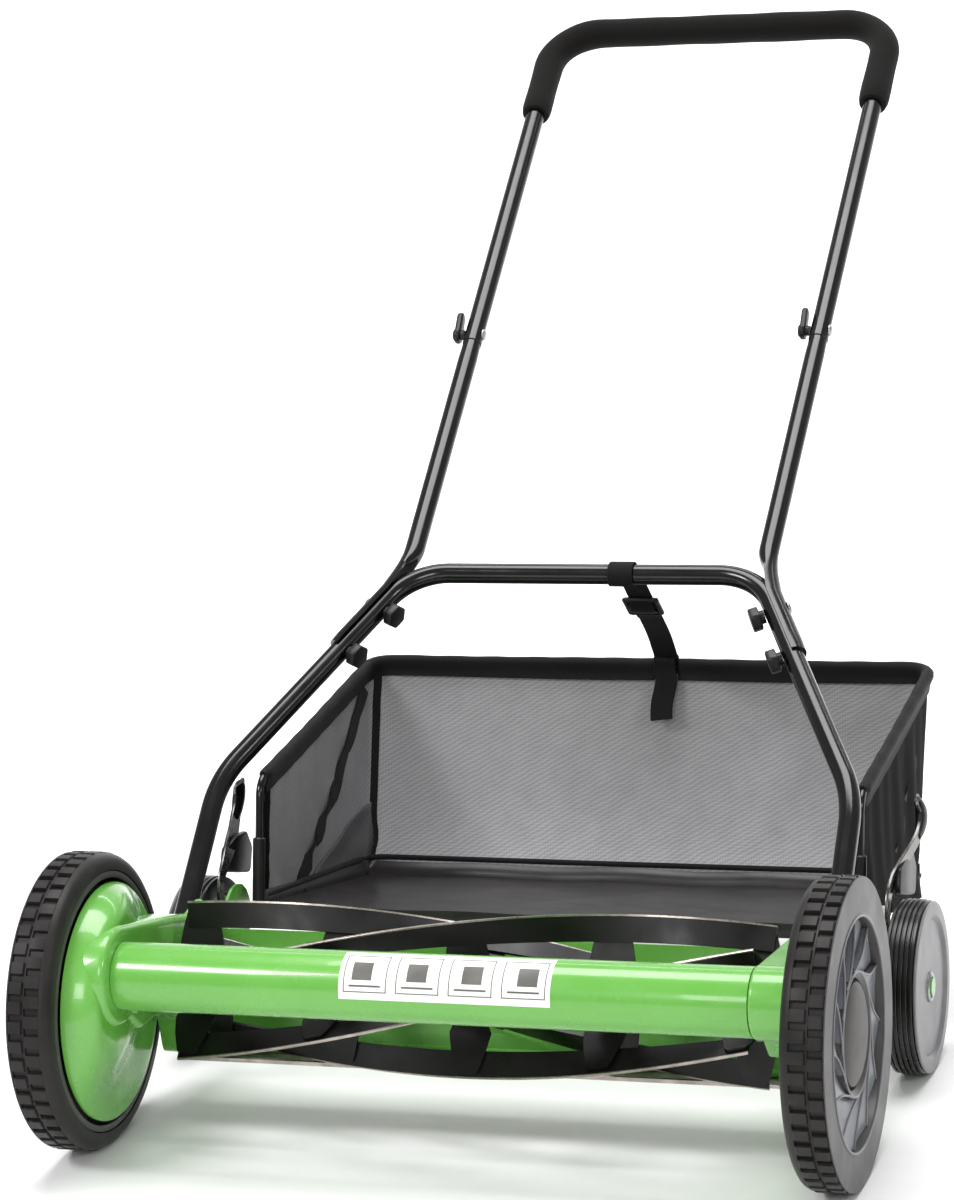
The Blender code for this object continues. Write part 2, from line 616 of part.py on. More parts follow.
def build_handle(assembly):
    """Lower U, two struts, upper U and its foam grip."""
    sides = 8
    pivot = (0, *HANDLE_PIVOT)
    arm = [LEG_FOOT, LEG_BEND, LEG_CORNER]
    radii = (LEG_BEND_RADIUS, CORNER_RADIUS, CORNER_RADIUS, LEG_BEND_RADIUS)
    frames = path_frames(rounded_path(arm + mirrored(arm), radii, 4))
    outer = [HANDLE_TUBE_RADIUS] * len(frames)
    inner = [HANDLE_TUBE_RADIUS - HANDLE_WALL] * len(frames)
    item = assembly.add("lower_handle", hollow_tube(frames, outer, inner, sides), "black_paint", pivot)
    assembly.shape(item, rod(HANDLE_PIVOT, PIVOT_BOLT_RADIUS + 0.0005, -0.32, 0.32, 12))

    joint = STRUT_BEND.lerp(TOP_CORNER, JOINT_FRACTION)
    down = (LEG_BEND - LEG_CORNER).normalized()
    upward = (TOP_CORNER - STRUT_BEND).normalized()
    normal = Vector((0, -upward.z, upward.y)).normalized()
    out_low = normal.cross(down).normalized()
    out_low *= math.copysign(1.0, out_low.x)
    bore = HANDLE_TUBE_RADIUS - HANDLE_WALL - 0.0005
    for name, side in SIDES.items():
        rings = [strut_ring(LEG_CORNER + down * STRUT_OVERLAP, out_low, normal, 0.0),
                 strut_ring(LEG_CORNER + down * 0.034, out_low, normal, 0.0),
                 strut_ring(LEG_CORNER + down * 0.012, out_low, normal, 0.15)]
        out_high = Vector((1, 0, 0))
        middle = (out_low + out_high).normalized()
        rings.append(strut_ring(STRUT_BEND, middle, normal, 0.35))
        rings.append(strut_ring(STRUT_BEND + upward * 0.010, out_high, normal, 0.75))
        rings.append(strut_ring(STRUT_BEND + upward * 0.022, out_high, normal, 1.0))
        rings.append(strut_ring(joint, out_high, normal, 1.0))
        for centre in (joint, STRUT_BEND + upward * 0.040):
            rings.append([centre + (point - joint) * (bore / HANDLE_TUBE_RADIUS) for point in rings[6]])
        assembly.add(f"handle_strut_{name}", loft(rings), "black_paint", pivot, side)

    spigot = bore - GAP
    start = joint + upward * GAP
    arm = [joint - upward * SPIGOT_LENGTH, start]
    arc_points = rounded_path([start, TOP_CORNER, mirrored([TOP_CORNER])[0], mirrored([start])[0]],
                              (TOP_RADIUS, TOP_RADIUS), 5)
    path = arm + arc_points[1:-1] + mirrored(arm)
    frames = planar_frames(path, normal)
    inner_count = len(frames) - 2
    frames = [*frames[:2], *frames[1:-1], *frames[-2:]]
    outer = [spigot] * 2 + [HANDLE_TUBE_RADIUS] * inner_count + [spigot] * 2
    inner = [spigot - 0.001] * len(frames)
    assembly.add("upper_handle", hollow_tube(frames, outer, inner, 12), "black_paint", pivot)

    low = TOP_CORNER - upward * (GRIP_LEG + TOP_RADIUS)
    path = rounded_path([low, TOP_CORNER, mirrored([TOP_CORNER])[0], mirrored([low])[0]],
                        (TOP_RADIUS, TOP_RADIUS), 5)
    frames = planar_frames(path, normal)
    outer = [GRIP_RADIUS] * len(frames)
    inner = [HANDLE_TUBE_RADIUS + 0.0006] * len(frames)
    assembly.add("foam_grip", hollow_tube(frames, outer, inner, 12), "grip_foam", pivot)
    build_knobs(assembly, joint, upward, down, out_low)


def planar_frames(path, normal):
    """Return frames of a path in the handle's plane, whose normal is given."""
    frames = []
    for index, point in enumerate(path):
        before = path[max(index - 1, 0)]
        after = path[min(index + 1, len(path) - 1)]
        tangent = ((after - point).normalized() + (point - before).normalized()).normalized()
        frames.append((point, normal.cross(tangent).normalized(), normal))
    return frames


def knob_mesh(outline, thickness, stem, place, axis, upward):
    """Return a knob along axis: a plate on a short stem, from place outwards."""
    bm = plate(outline, stem, stem + thickness)
    side = upward.cross(axis).normalized()
    turn = Matrix((axis, upward, side)).transposed().to_4x4()
    bmesh.ops.transform(bm, matrix=Matrix.Translation(place) @ turn, verts=bm.verts)
    return bm


def build_knobs(assembly, joint, upward, down, out_low):
    """Wing knobs at the strut joints, clamp knobs on the lower U."""
    wing = hull_outline([(0.0, 0.0, 0.0075), (0.015, 0.004, 0.0055)], 10)
    stem = hull_outline([(0.0, 0.0, 0.0032)], 8)
    for name, side in SIDES.items():
        place = joint + upward * 0.014
        place.x *= side
        axis = Vector((-1, 0, 0))
        clear = HANDLE_TUBE_RADIUS + 0.0005
        bm = knob_mesh(wing, 0.005, clear + 0.004, place, axis, upward)
        origin = place + axis * clear
        item = assembly.add(f"wing_knob_{name}", bm, "knob_plastic", origin)
        assembly.shape(item, knob_mesh(stem, 0.006, clear, place, axis, upward), "UNION")
        eye = hull_outline([(0.015, 0.004, 0.0026)], 8)
        assembly.shape(item, knob_mesh(eye, 0.02, clear, place, axis, upward))
    hexagon = arc((0, 0), 0.0115, 0, 300, 5)
    for name, side in SIDES.items():
        for level, distance in CLAMP_POSITIONS.items():
            place = LEG_CORNER + down * distance
            bm = knob_mesh(hexagon, 0.010, HANDLE_TUBE_RADIUS + 0.004, place, -out_low, down)
            origin = place - out_low * (HANDLE_TUBE_RADIUS + 0.004)
            item = assembly.add(f"clamp_knob_{name}_{level}", bm, "knob_plastic", origin, side)
            neck = knob_mesh(stem, 0.0045, HANDLE_TUBE_RADIUS + 0.0005, place, -out_low, down)
            assembly.shape(item, neck, "UNION", side)


# Catcher

def solidified(assembly, name, faces, thickness, finish):
    """Make a folded sheet of quads and thicken it towards its inside."""
    bm = bmesh.new()
    verts = {}
    for face in faces:
        for point in face:
            if point not in verts:
                verts[point] = bm.verts.new(point)
    for face in faces:
        bm.faces.new([verts[point] for point in face])
    origin = (0, *CATCHER_PEG)
    item = assembly.add(name, bm, finish, origin)
    face = item.data.polygons[0]
    inwards = Vector((0, 0.45, 0.3)) - item.location - face.center
    modifier = item.modifiers.new("Thickness", "SOLIDIFY")
    modifier.thickness = thickness
    modifier.offset = math.copysign(1.0, face.normal.dot(inwards))
    modifier.use_even_offset = True
    return item


def build_catcher(assembly):
    """Fabric walls, floor tray, wire frame and the strap with its buckle."""
    width = BAG_HALF_WIDTH
    corner = {}
    for sign in (-1, 1):
        for name, (y, z) in (("front_low", BAG_FRONT_LOW), ("back_low", BAG_BACK_LOW),
                             ("back_top", BAG_BACK_TOP), ("front_top", BAG_FRONT_TOP)):
            corner[sign, name] = (sign * width, y, z)
    walls = [
        (corner[-1, "front_low"], corner[-1, "front_top"], corner[-1, "back_top"], corner[-1, "back_low"]),
        (corner[-1, "back_low"], corner[-1, "back_top"], corner[1, "back_top"], corner[1, "back_low"]),
        (corner[1, "back_low"], corner[1, "back_top"], corner[1, "front_top"], corner[1, "front_low"]),
    ]
    solidified(assembly, "catcher_bag", walls, BAG_WALL, "catcher_fabric")

    reach = WIRE_HALF_WIDTH - WIRE_RADIUS - 0.0015
    front = Vector(BAG_FRONT_LOW) + Vector((-0.004, 0.0035))
    back = Vector(BAG_BACK_LOW) + Vector((-0.0085, 0.0045))
    lip = 0.014
    rise = Vector((0.0045, lip))
    low = {s: ((s * reach, *front), (s * reach, *back)) for s in (-1, 1)}
    high = {s: ((s * reach, front[0], front[1] + lip), (s * reach, *(back + rise))) for s in (-1, 1)}
    floor = [(low[-1][0], low[-1][1], low[1][1], low[1][0]),
             (low[-1][0], high[-1][0], high[-1][1], low[-1][1]),
             (low[-1][1], high[-1][1], high[1][1], low[1][1]),
             (low[1][1], high[1][1], high[1][0], low[1][0])]
    solidified(assembly, "catcher_tray", floor, 0.002, "tray_plastic")

    half = [Vector((WIRE_HALF_WIDTH, 0.2890, 0.1205)), Vector((WIRE_HALF_WIDTH, 0.3150, 0.2315 + WIRE_RISE)),
            Vector((WIRE_HALF_WIDTH, BAG_BACK_TOP[0] + 0.001, BAG_BACK_TOP[1] + WIRE_RISE))]
    path = rounded_path(half + mirrored(half), (0.014, 0.014, 0.014, 0.014), 4)
    rings = [circle(*frame, WIRE_RADIUS, 6) for frame in path_frames(path)]
    assembly.add("catcher_frame", loft(rings), "wire_steel", (0, *CATCHER_PEG))
    build_strap(assembly)


def build_strap(assembly):
    """Strap looped on the crossbar, its buckle, and the tail round the catcher's hem."""
    bar = (LEG_CORNER.y, LEG_CORNER.z)
    hem = (BAG_BACK_TOP[0] + 0.001, BAG_BACK_TOP[1] + 0.018)
    slope = math.degrees(math.atan2(hem[1] - bar[1], hem[0] - bar[0]))
    radius = HANDLE_TUBE_RADIUS + 0.0015
    loop = arc(bar, radius, slope - 90, slope - 270, 10)
    run = (math.cos(math.radians(slope)), math.sin(math.radians(slope)))
    length = math.dist(bar, hem)
    flat = [(loop[-1][0] + run[0] * length * f, loop[-1][1] + run[1] * length * f)
            for f in (0.25, 0.5, 0.75, 0.93)]
    path = []
    for y, z in loop + flat:
        along = min(1.0, max(0.0, (y - bar[0]) / (hem[0] - bar[0])))
        path.append(Vector((STRAP_X + (STRAP_END_X - STRAP_X) * along, y, z)))
    widths = [STRAP_WIDTH] * len(path)
    assembly.add("bag_strap", ribbon(path, widths, [STRAP_THICKNESS] * len(path)), "webbing",
                 (STRAP_X, *bar))

    middle = path[len(loop)]
    along = (path[-1] - middle).normalized()
    lift = Vector((1, 0, 0)).cross(along).normalized()
    lift *= math.copysign(1.0, lift.z)
    base = middle + lift * (STRAP_THICKNESS / 2 + GAP + 0.0035)
    buckle = ribbon([base, base + along * 0.042], (0.026, 0.026), (0.007, 0.007))
    assembly.add("strap_buckle", buckle, "knob_plastic", (STRAP_X, *bar))

    top = BAG_BACK_TOP[1] + WIRE_RISE + WIRE_RADIUS + 0.0015
    slant = (Vector(BAG_BACK_TOP) - Vector(BAG_BACK_LOW)).normalized()
    outside = Vector(BAG_BACK_TOP) + Vector((0.0062, 0.0))
    inside = Vector(BAG_BACK_TOP) + Vector((-0.0085, 0.0))
    route = [outside - slant * 0.014, outside, (outside[0], top), (inside[0], top), inside,
             inside - slant * 0.045]
    path = [Vector((STRAP_END_X, *point)) for point in route]
    tail = ribbon(path, [STRAP_WIDTH] * 6, [STRAP_THICKNESS] * 6)
    assembly.add("strap_tail", tail, "webbing", (0, *CATCHER_PEG))


def main():
    """Build the whole machine."""
    clear_scene()
    assembly = Assembly()
    build_frame(assembly)
    build_reel(assembly)
    for name, side in SIDES.items():
        build_side(assembly, name, side)
        build_front_wheel(assembly, name, side)
        build_rear(assembly, name, side)
    build_handle(assembly)
    build_catcher(assembly)


main()
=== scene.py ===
"""Looks of a push reel mower with a rear grass catcher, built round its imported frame.

Lengths are metres in the frame's own axes: X runs across the machine, -Y is its front and
+Z is up. Side profiles count Y from the front axle, and Datum.at() carries them into place.
Finishes come first, then mesh helpers, then one class for each sub-assembly and the studio.
"""

import functools
import logging
import math
from collections.abc import Callable, Sequence
from dataclasses import dataclass, field
from enum import Enum

import bmesh
import bpy
from mathutils import Matrix, Vector


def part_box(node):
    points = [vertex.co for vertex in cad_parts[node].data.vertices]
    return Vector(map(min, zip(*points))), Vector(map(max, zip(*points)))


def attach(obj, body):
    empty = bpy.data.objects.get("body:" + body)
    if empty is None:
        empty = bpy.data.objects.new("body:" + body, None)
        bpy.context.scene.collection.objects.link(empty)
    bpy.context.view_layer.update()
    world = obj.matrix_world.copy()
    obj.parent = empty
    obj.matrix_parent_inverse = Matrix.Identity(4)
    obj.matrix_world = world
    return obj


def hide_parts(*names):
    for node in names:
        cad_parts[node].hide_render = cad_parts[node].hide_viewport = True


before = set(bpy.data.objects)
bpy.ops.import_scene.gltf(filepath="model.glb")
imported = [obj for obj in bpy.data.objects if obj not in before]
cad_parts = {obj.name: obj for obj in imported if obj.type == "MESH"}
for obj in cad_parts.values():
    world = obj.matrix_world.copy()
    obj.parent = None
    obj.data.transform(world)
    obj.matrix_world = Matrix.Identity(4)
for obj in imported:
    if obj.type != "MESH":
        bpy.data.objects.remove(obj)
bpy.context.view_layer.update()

LOG = logging.getLogger("mower")
Profile = Sequence[tuple[float, float]]
Points = list[tuple[float, float]]
Form = bmesh.types.BMesh
Tree = bpy.types.NodeTree
Socket = bpy.types.NodeSocket
ACROSS = Vector((1.0, 0.0, 0.0))


class Side(Enum):
    """The two sides of the machine, as the sign of X."""

    LEFT = -1
    RIGHT = 1

    @property
    def label(self) -> str:
        """Return the side's name as the frame writes it."""
        return self.name.lower()


class Run(Enum):
    """The way that the warp of a cloth lies, as the index of its axis."""

    ACROSS = 0
    ALONG = 1


# Finishes

def linear(code: str) -> tuple[float, float, float, float]:
    """Turn an sRGB hex colour into linear values.

    Args:
        code: A colour such as "#7CC45E".

    Returns:
        Red, green, blue and an alpha of one.
    """
    values = []
    for start in (1, 3, 5):
        share = int(code[start:start + 2], 16) / 255
        values.append(share / 12.92 if share <= 0.04045 else ((share + 0.055) / 1.055) ** 2.4)
    return (values[0], values[1], values[2], 1.0)


def add_node(tree: Tree, kind: str, inputs: dict | None = None, output: int | str = 0, **settings) -> Socket:
    """Add a node with its settings, and its values or links.

    Args:
        tree: The node tree.
        kind: The node's type.
        inputs: Sockets by name or number, each with a value or the socket that feeds it.
        output: The output that is wanted, by name or number.
        settings: Attributes of the node.

    Returns:
        The node's output.
    """
    node = tree.nodes.new(kind)
    for name, value in settings.items():
        setattr(node, name, value)
    for key, value in (inputs or {}).items():
        if isinstance(value, Socket):
            tree.links.new(value, node.inputs[key])
        else:
            node.inputs[key].default_value = value
    return node.outputs[output]


@dataclass(frozen=True)
class Finish:
    """A real surface. Each kind of finish has its own pattern()."""

    name: str
    colour: str
    second: str
    roughness: float
    metallic: float = 0.0
    ior: float = 1.5
    coat: float = 0.0
    sheen: float = 0.0

    @functools.cache
    def material(self) -> bpy.types.Material:
        """Make the material, at its first use.

        Returns:
            The material.
        """
        material = bpy.data.materials.new(self.name)
        material.use_nodes = True
        tree = material.node_tree
        shader = tree.nodes["Principled BSDF"]
        shader.inputs["Metallic"].default_value = self.metallic
        shader.inputs["Roughness"].default_value = self.roughness
        if not self.metallic:
            shader.inputs["IOR"].default_value = self.ior
        shader.inputs["Coat Weight"].default_value = self.coat
        shader.inputs["Sheen Weight"].default_value = self.sheen
        place = add_node(tree, "ShaderNodeTexCoord", output="Object")
        feeds = self.pattern(tree, place)
        mix = {0: feeds.pop("Share"), 6: linear(self.colour), 7: linear(self.second)}
        feeds["Base Color"] = add_node(tree, "ShaderNodeMix", mix, 2, data_type="RGBA")
        for socket, source in feeds.items():
            tree.links.new(source, shader.inputs[socket])
        return material

    def pattern(self, tree: Tree, place: Socket) -> dict[str, Socket]:
        """Make the pattern of this kind of finish.

        Args:
            tree: The material's nodes.
            place: Where a point lies on the piece.

        Returns:
            What feeds the shader's sockets, and the share of the second colour.
        """
        raise NotImplementedError


@dataclass(frozen=True)
class Paint(Finish):
    """Stove enamel or powder coat on steel: a smooth film that draws into a fine orange peel."""

    peel_mm: float = 3.0
    peel_depth_mm: float = 0.012
    drift_mm: float = 90.0
    smear_mm: float = 28.0

    def pattern(self, tree: Tree, place: Socket) -> dict[str, Socket]:
        """Add a slow drift of shade, smeared handling marks and the orange peel.

        Args:
            tree: The material's nodes.
            place: Where a point lies on the piece.

        Returns:
            What feeds the shader's sockets, and the share of the second colour.
        """
        drift = add_node(tree, "ShaderNodeTexNoise", {"Vector": place, "Scale": 1000 / self.drift_mm})
        share = add_node(tree, "ShaderNodeMapRange", {"Value": drift, "From Min": 0.3, "From Max": 0.7})
        smear = add_node(tree, "ShaderNodeTexNoise", {"Vector": place, "Scale": 1000 / self.smear_mm, "Detail": 4.0})
        gloss = add_node(tree, "ShaderNodeMapRange", {"Value": smear, "From Min": 0.3, "From Max": 0.7,
                                                      "To Min": self.roughness * 0.8, "To Max": self.roughness * 1.35})
        peel = add_node(tree, "ShaderNodeTexNoise", {"Vector": place, "Scale": 1000 / self.peel_mm})
        relief = add_node(tree, "ShaderNodeBump", {"Height": peel, "Distance": self.peel_depth_mm / 1000})
        return {"Share": share, "Roughness": gloss, "Normal": relief}


@dataclass(frozen=True)
class Ground(Finish):
    """Steel that was turned, ground or drawn: fine lines along one axis and a mottled sheen."""

    line_mm: float = 0.5
    line_depth_mm: float = 0.01
    tarnish_mm: float = 14.0

    def pattern(self, tree: Tree, place: Socket) -> dict[str, Socket]:
        """Add the cutting lines and a patchy tarnish.

        Args:
            tree: The material's nodes.
            place: Where a point lies on the piece.

        Returns:
            What feeds the shader's sockets, and the share of the second colour.
        """
        patch = add_node(tree, "ShaderNodeTexNoise", {"Vector": place, "Scale": 1000 / self.tarnish_mm, "Detail": 5.0})
        share = add_node(tree, "ShaderNodeMapRange", {"Value": patch, "From Min": 0.3, "From Max": 0.7})
        drawn = add_node(tree, "ShaderNodeMapping", {"Vector": place, "Scale": (0.04, 1.0, 1.0)})
        lines = add_node(tree, "ShaderNodeTexNoise", {"Vector": drawn, "Scale": 1000 / self.line_mm})
        wear = add_node(tree, "ShaderNodeMapRange", {"Value": lines, "From Min": 0.3, "From Max": 0.7,
                                                     "To Min": self.roughness * 0.8, "To Max": self.roughness * 1.3})
        relief = add_node(tree, "ShaderNodeBump", {"Height": lines, "Distance": self.line_depth_mm / 1000})
        return {"Share": share, "Roughness": wear, "Normal": relief}


@dataclass(frozen=True)
class Moulding(Finish):
    """An injection moulding or a tyre: spark-eroded grain from the tool and a dusty bloom."""

    grain_mm: float = 0.8
    grain_depth_mm: float = 0.03
    bloom_mm: float = 24.0
    polish_mm: float = 40.0

    def pattern(self, tree: Tree, place: Socket) -> dict[str, Socket]:
        """Add the bloom, the grain and where hands have polished it.

        Args:
            tree: The material's nodes.
            place: Where a point lies on the piece.

        Returns:
            What feeds the shader's sockets, and the share of the second colour.
        """
        bloom = add_node(tree, "ShaderNodeTexNoise", {"Vector": place, "Scale": 1000 / self.bloom_mm, "Detail": 5.0})
        share = add_node(tree, "ShaderNodeMapRange", {"Value": bloom, "From Min": 0.35, "From Max": 0.75})
        hands = add_node(tree, "ShaderNodeTexNoise", {"Vector": place, "Scale": 1000 / self.polish_mm, "Detail": 3.0})
        polish = add_node(tree, "ShaderNodeMapRange", {"Value": hands, "From Min": 0.3, "From Max": 0.7,
                                                       "To Min": self.roughness * 0.88,
                                                       "To Max": self.roughness * 1.12})
        grain = add_node(tree, "ShaderNodeTexNoise", {"Vector": place, "Scale": 1000 / self.grain_mm, "Detail": 3.0})
        relief = add_node(tree, "ShaderNodeBump", {"Height": grain, "Distance": self.grain_depth_mm / 1000})
        return {"Share": share, "Roughness": polish, "Normal": relief}


@dataclass(frozen=True)
class Foam(Finish):
    """Closed-cell rubber foam: small pits in a dull skin."""

    cell_mm: float = 1.3
    cell_depth_mm: float = 0.12

    def pattern(self, tree: Tree, place: Socket) -> dict[str, Socket]:
        """Add the cells, as pits of a darker shade.

        Args:
            tree: The material's nodes.
            place: Where a point lies on the piece.

        Returns:
            What feeds the shader's sockets, and the share of the second colour.
        """
        cells = add_node(tree, "ShaderNodeTexVoronoi", {"Vector": place, "Scale": 1000 / self.cell_mm})
        pits = add_node(tree, "ShaderNodeMapRange", {"Value": cells, "From Max": 0.6})
        relief = add_node(tree, "ShaderNodeBump", {"Height": pits, "Distance": self.cell_depth_mm / 1000,
                                                   "Strength": 0.7})
        return {"Share": pits, "Normal": relief}


@dataclass(frozen=True)
class Cloth(Finish):
    """A woven cloth or band: warp and weft at a thread spacing, and painted moiré sheen where it is asked for."""

    thread_mm: float = 2.4
    warp: Run = Run.ACROSS
    painted_moire_sheen: float = 0.0
    depth_mm: float = 0.15
    streak_mm: float = 4.2
    patch_mm: float = 16.0

    def pattern(self, tree: Tree, place: Socket) -> dict[str, Socket]:
        """Add threads both ways; the painted moiré sheen lays slanted light and dark streaks over them.

        Args:
            tree: The material's nodes.
            place: Where a point lies on the piece.

        Returns:
            What feeds the shader's sockets, and the share of the second colour.
        """
        scale = math.tau / 20 * 1000 / self.thread_mm
        warp = add_node(tree, "ShaderNodeTexWave", {"Vector": place, "Scale": scale, "Distortion": 0.4}, "Fac",
                        bands_direction="XY"[self.warp.value])
        weft = add_node(tree, "ShaderNodeTexWave", {"Vector": place, "Scale": scale, "Distortion": 0.4}, "Fac",
                        bands_direction="Z")
        threads = add_node(tree, "ShaderNodeMath", {0: warp, 1: weft}, operation="MULTIPLY")
        share = threads
        # Painted sheen: moiré streaks of light and dark, mixed into the colour.
        if self.painted_moire_sheen:
            painted_moire_bands = self.painted_moire_bands(tree, place)
            share = add_node(tree, "ShaderNodeMix", {0: self.painted_moire_sheen, 2: threads, 3: painted_moire_bands})
        relief = add_node(tree, "ShaderNodeBump", {"Height": threads, "Distance": self.depth_mm / 1000,
                                                   "Strength": 0.6})
        return {"Share": share, "Normal": relief}

    def painted_moire_bands(self, tree: Tree, place: Socket) -> Socket:
        """Make slanted bands of painted sheen, the moiré that two layers of open weave show where they beat.

        Args:
            tree: The material's nodes.
            place: Where a point lies on the piece.

        Returns:
            The bands, broken up by patches.
        """
        turn = (0.0, math.radians(28), 0.0) if self.warp is Run.ACROSS else (math.radians(-28), 0.0, 0.0)
        slanted = add_node(tree, "ShaderNodeMapping", {"Vector": place, "Rotation": turn})
        scale = math.tau / 20 * 1000 / self.streak_mm
        bands = add_node(tree, "ShaderNodeTexWave", {"Vector": slanted, "Scale": scale, "Distortion": 2.5}, "Fac",
                         bands_direction="Z")
        patches = add_node(tree, "ShaderNodeTexNoise", {"Vector": place, "Scale": 1000 / self.patch_mm, "Detail": 3.0})
        return add_node(tree, "ShaderNodeMix", {0: 0.45, 2: bands, 3: patches})


# Stove-enamelled steel in leaf green: a glossy wet-looking film with soft streaks of light.
GREEN_ENAMEL = Paint("stove_enamelled_steel_green", "#68AE48", "#61A742", 0.24, coat=0.5)
# Powder-coated steel tube in black: a deep gloss that draws long highlights down the tube.
BLACK_POWDER = Paint("powder_coated_steel_black", "#080707", "#0C0B0B", 0.16, peel_mm=2.0)
# Dipped black paint on pressed blades: duller, with thin patches.
DIPPED_BLACK = Paint("dip_painted_steel_black", "#080707", "#0F0D0C", 0.34, peel_mm=5.0, peel_depth_mm=0.03, ior=1.38)
# Blackened spring steel: oily dark grey with a bright light on its bends.
BLACK_SPRING = Ground("blackened_spring_steel", "#6E6C6A", "#555351", 0.26, metallic=1.0, line_mm=1.0)
# Ground carbon steel: bright cutting edges with fine lines from the wheel.
GROUND_STEEL = Ground("ground_carbon_steel", "#B5AEA6", "#8E867E", 0.30, metallic=1.0)
# Zinc-plated steel: pale, slightly mottled bolts, pins and washers.
ZINC_STEEL = Ground("zinc_plated_steel", "#B9BBBD", "#9A9C9E", 0.34, metallic=1.0, line_mm=0.8)
# Sintered bronze: a dull warm bush.
SINTERED_BRONZE = Ground("sintered_bronze", "#9A7444", "#7A5B36", 0.45, metallic=1.0, line_mm=0.6)
# Moulded black rubber compound: dull, a little brown where dust has settled.
TREAD_RUBBER = Moulding("moulded_rubber_tyre", "#141211", "#221F1E", 0.46, sheen=0.04, grain_mm=1.1,
                        grain_depth_mm=0.06, ior=1.35)
# Ribbed rear tyre in smooth hard rubber: shinier on its ribs.
RIB_RUBBER = Moulding("extruded_rubber_band", "#0E0D0D", "#171616", 0.30, grain_mm=1.5)
# Moulded grey polypropylene: an even satin with a fine grain.
GREY_POLYPROPYLENE = Moulding("moulded_polypropylene_grey", "#393737", "#434140", 0.40, grain_mm=0.9)
# A browner batch of the same plastic, with a coarser grain, for the caps.
BROWN_POLYPROPYLENE = Moulding("moulded_polypropylene_brown", "#2A2624", "#35302E", 0.46, grain_mm=1.2)
# The same moulding on its vanes, cooler, shinier and much lighter: the lighter shade is painted light on their lit
# walls.
VANE_POLYPROPYLENE_PAINTED_LIGHT = Moulding("moulded_polypropylene_vanes", "#6E7277", "#7D8186", 0.30, grain_mm=0.9)
# Pale grey polypropylene of the small rear wheels.
PALE_POLYPROPYLENE = Moulding("moulded_polypropylene_pale", "#6C6B6E", "#7A797C", 0.34, grain_mm=0.9)
# Glass-filled black nylon of knobs and pads: satin, with worn grey corners.
BLACK_NYLON = Moulding("moulded_nylon_black", "#0E0D0D", "#181717", 0.36, grain_mm=0.7, ior=1.38)
# Nitrile rubber foam sleeve: soft black that hardly shines.
NITRILE_FOAM = Foam("nitrile_rubber_foam", "#161413", "#0D0C0B", 0.85, sheen=0.05, ior=1.22)
# PVC-coated polyester mesh. Its 1 mm threads are drawn at 2.6 mm so that they show. Its greys are partly the threads'
# own colour and partly painted light: the pale backdrop seen through the open weave, painted into an opaque sheet.
MESH_BACK_WITH_PAINTED_LIGHT = Cloth("coated_polyester_mesh", "#838284", "#B6B5B8", 0.60, thread_mm=2.6, painted_moire_sheen=0.62, ior=1.22)
MESH_SIDE_WITH_PAINTED_LIGHT = Cloth("coated_polyester_mesh_side", "#737274", "#A1A0A3", 0.60, thread_mm=2.6, warp=Run.ALONG,
                  painted_moire_sheen=0.62, ior=1.22)
# The same mesh laid double in the corners: less light gets through, so it goes darker.
MESH_DOUBLED = Cloth("doubled_polyester_mesh", "#4C4B4D", "#646365", 0.60, thread_mm=2.6, warp=Run.ALONG,
                     painted_moire_sheen=0.5, ior=1.22)
# Black oxford polyester: a tight dull cloth with a soft bloom. Threads drawn at 1.8 mm. The first copy binds the front
# edges. It is also laid on one face of each mesh side wall, as painted shade for the dark inside of the catcher seen
# through the mesh.
OXFORD_BINDING_AND_SIDE_SHADE = Cloth("woven_oxford_polyester", "#0B0A0B", "#151415", 0.72, thread_mm=1.8,
                    warp=Run.ALONG, ior=1.12)
OXFORD_BACK = Cloth("woven_oxford_polyester_back", "#121112", "#1E1D1E", 0.70, sheen=0.05, thread_mm=1.8, ior=1.22)
# Polypropylene webbing: coarse ribs across a black band.
WEBBING = Cloth("woven_polypropylene_webbing", "#0C0C0C", "#1B1A1B", 0.66, sheen=0.04, thread_mm=2.0, ior=1.22)
# Extruded polyethylene sheet: a half-gloss dark grey with slow waves.
TRAY_SHEET = Moulding("extruded_polyethylene_sheet", "#242222", "#2E2B2B", 0.32, grain_mm=2.5, ior=1.38)
# White vinyl film and the grey ink printed on it.
VINYL_FILM = Moulding("printed_vinyl_film", "#F2F1EE", "#E9E8E4", 0.38, grain_mm=1.5, grain_depth_mm=0.01)
VINYL_INK = Moulding("screen_printed_ink", "#55534F", "#6A6863", 0.50, grain_mm=1.5, grain_depth_mm=0.01)
# Seamless background paper: matt, almost white.
SEAMLESS_PAPER = Moulding("seamless_paper", "#F6F6F6", "#F4F4F4", 0.9, grain_mm=3.0, grain_depth_mm=0.01)


# Mesh making

def arc(centre: tuple[float, float], radius: float, start: float, end: float, steps: int) -> Points:
    """Return points on a flat arc.

    Args:
        centre: The arc's centre.
        radius: Its radius.
        start: First angle in degrees.
        end: Last angle in degrees.
        steps: How many stretches the arc is cut into.

    Returns:
        The points from start to end.
    """
    points = []
    for index in range(steps + 1):
        angle = math.radians(start + (end - start) * index / steps)
        points.append((centre[0] + radius * math.cos(angle), centre[1] + radius * math.sin(angle)))
    return points


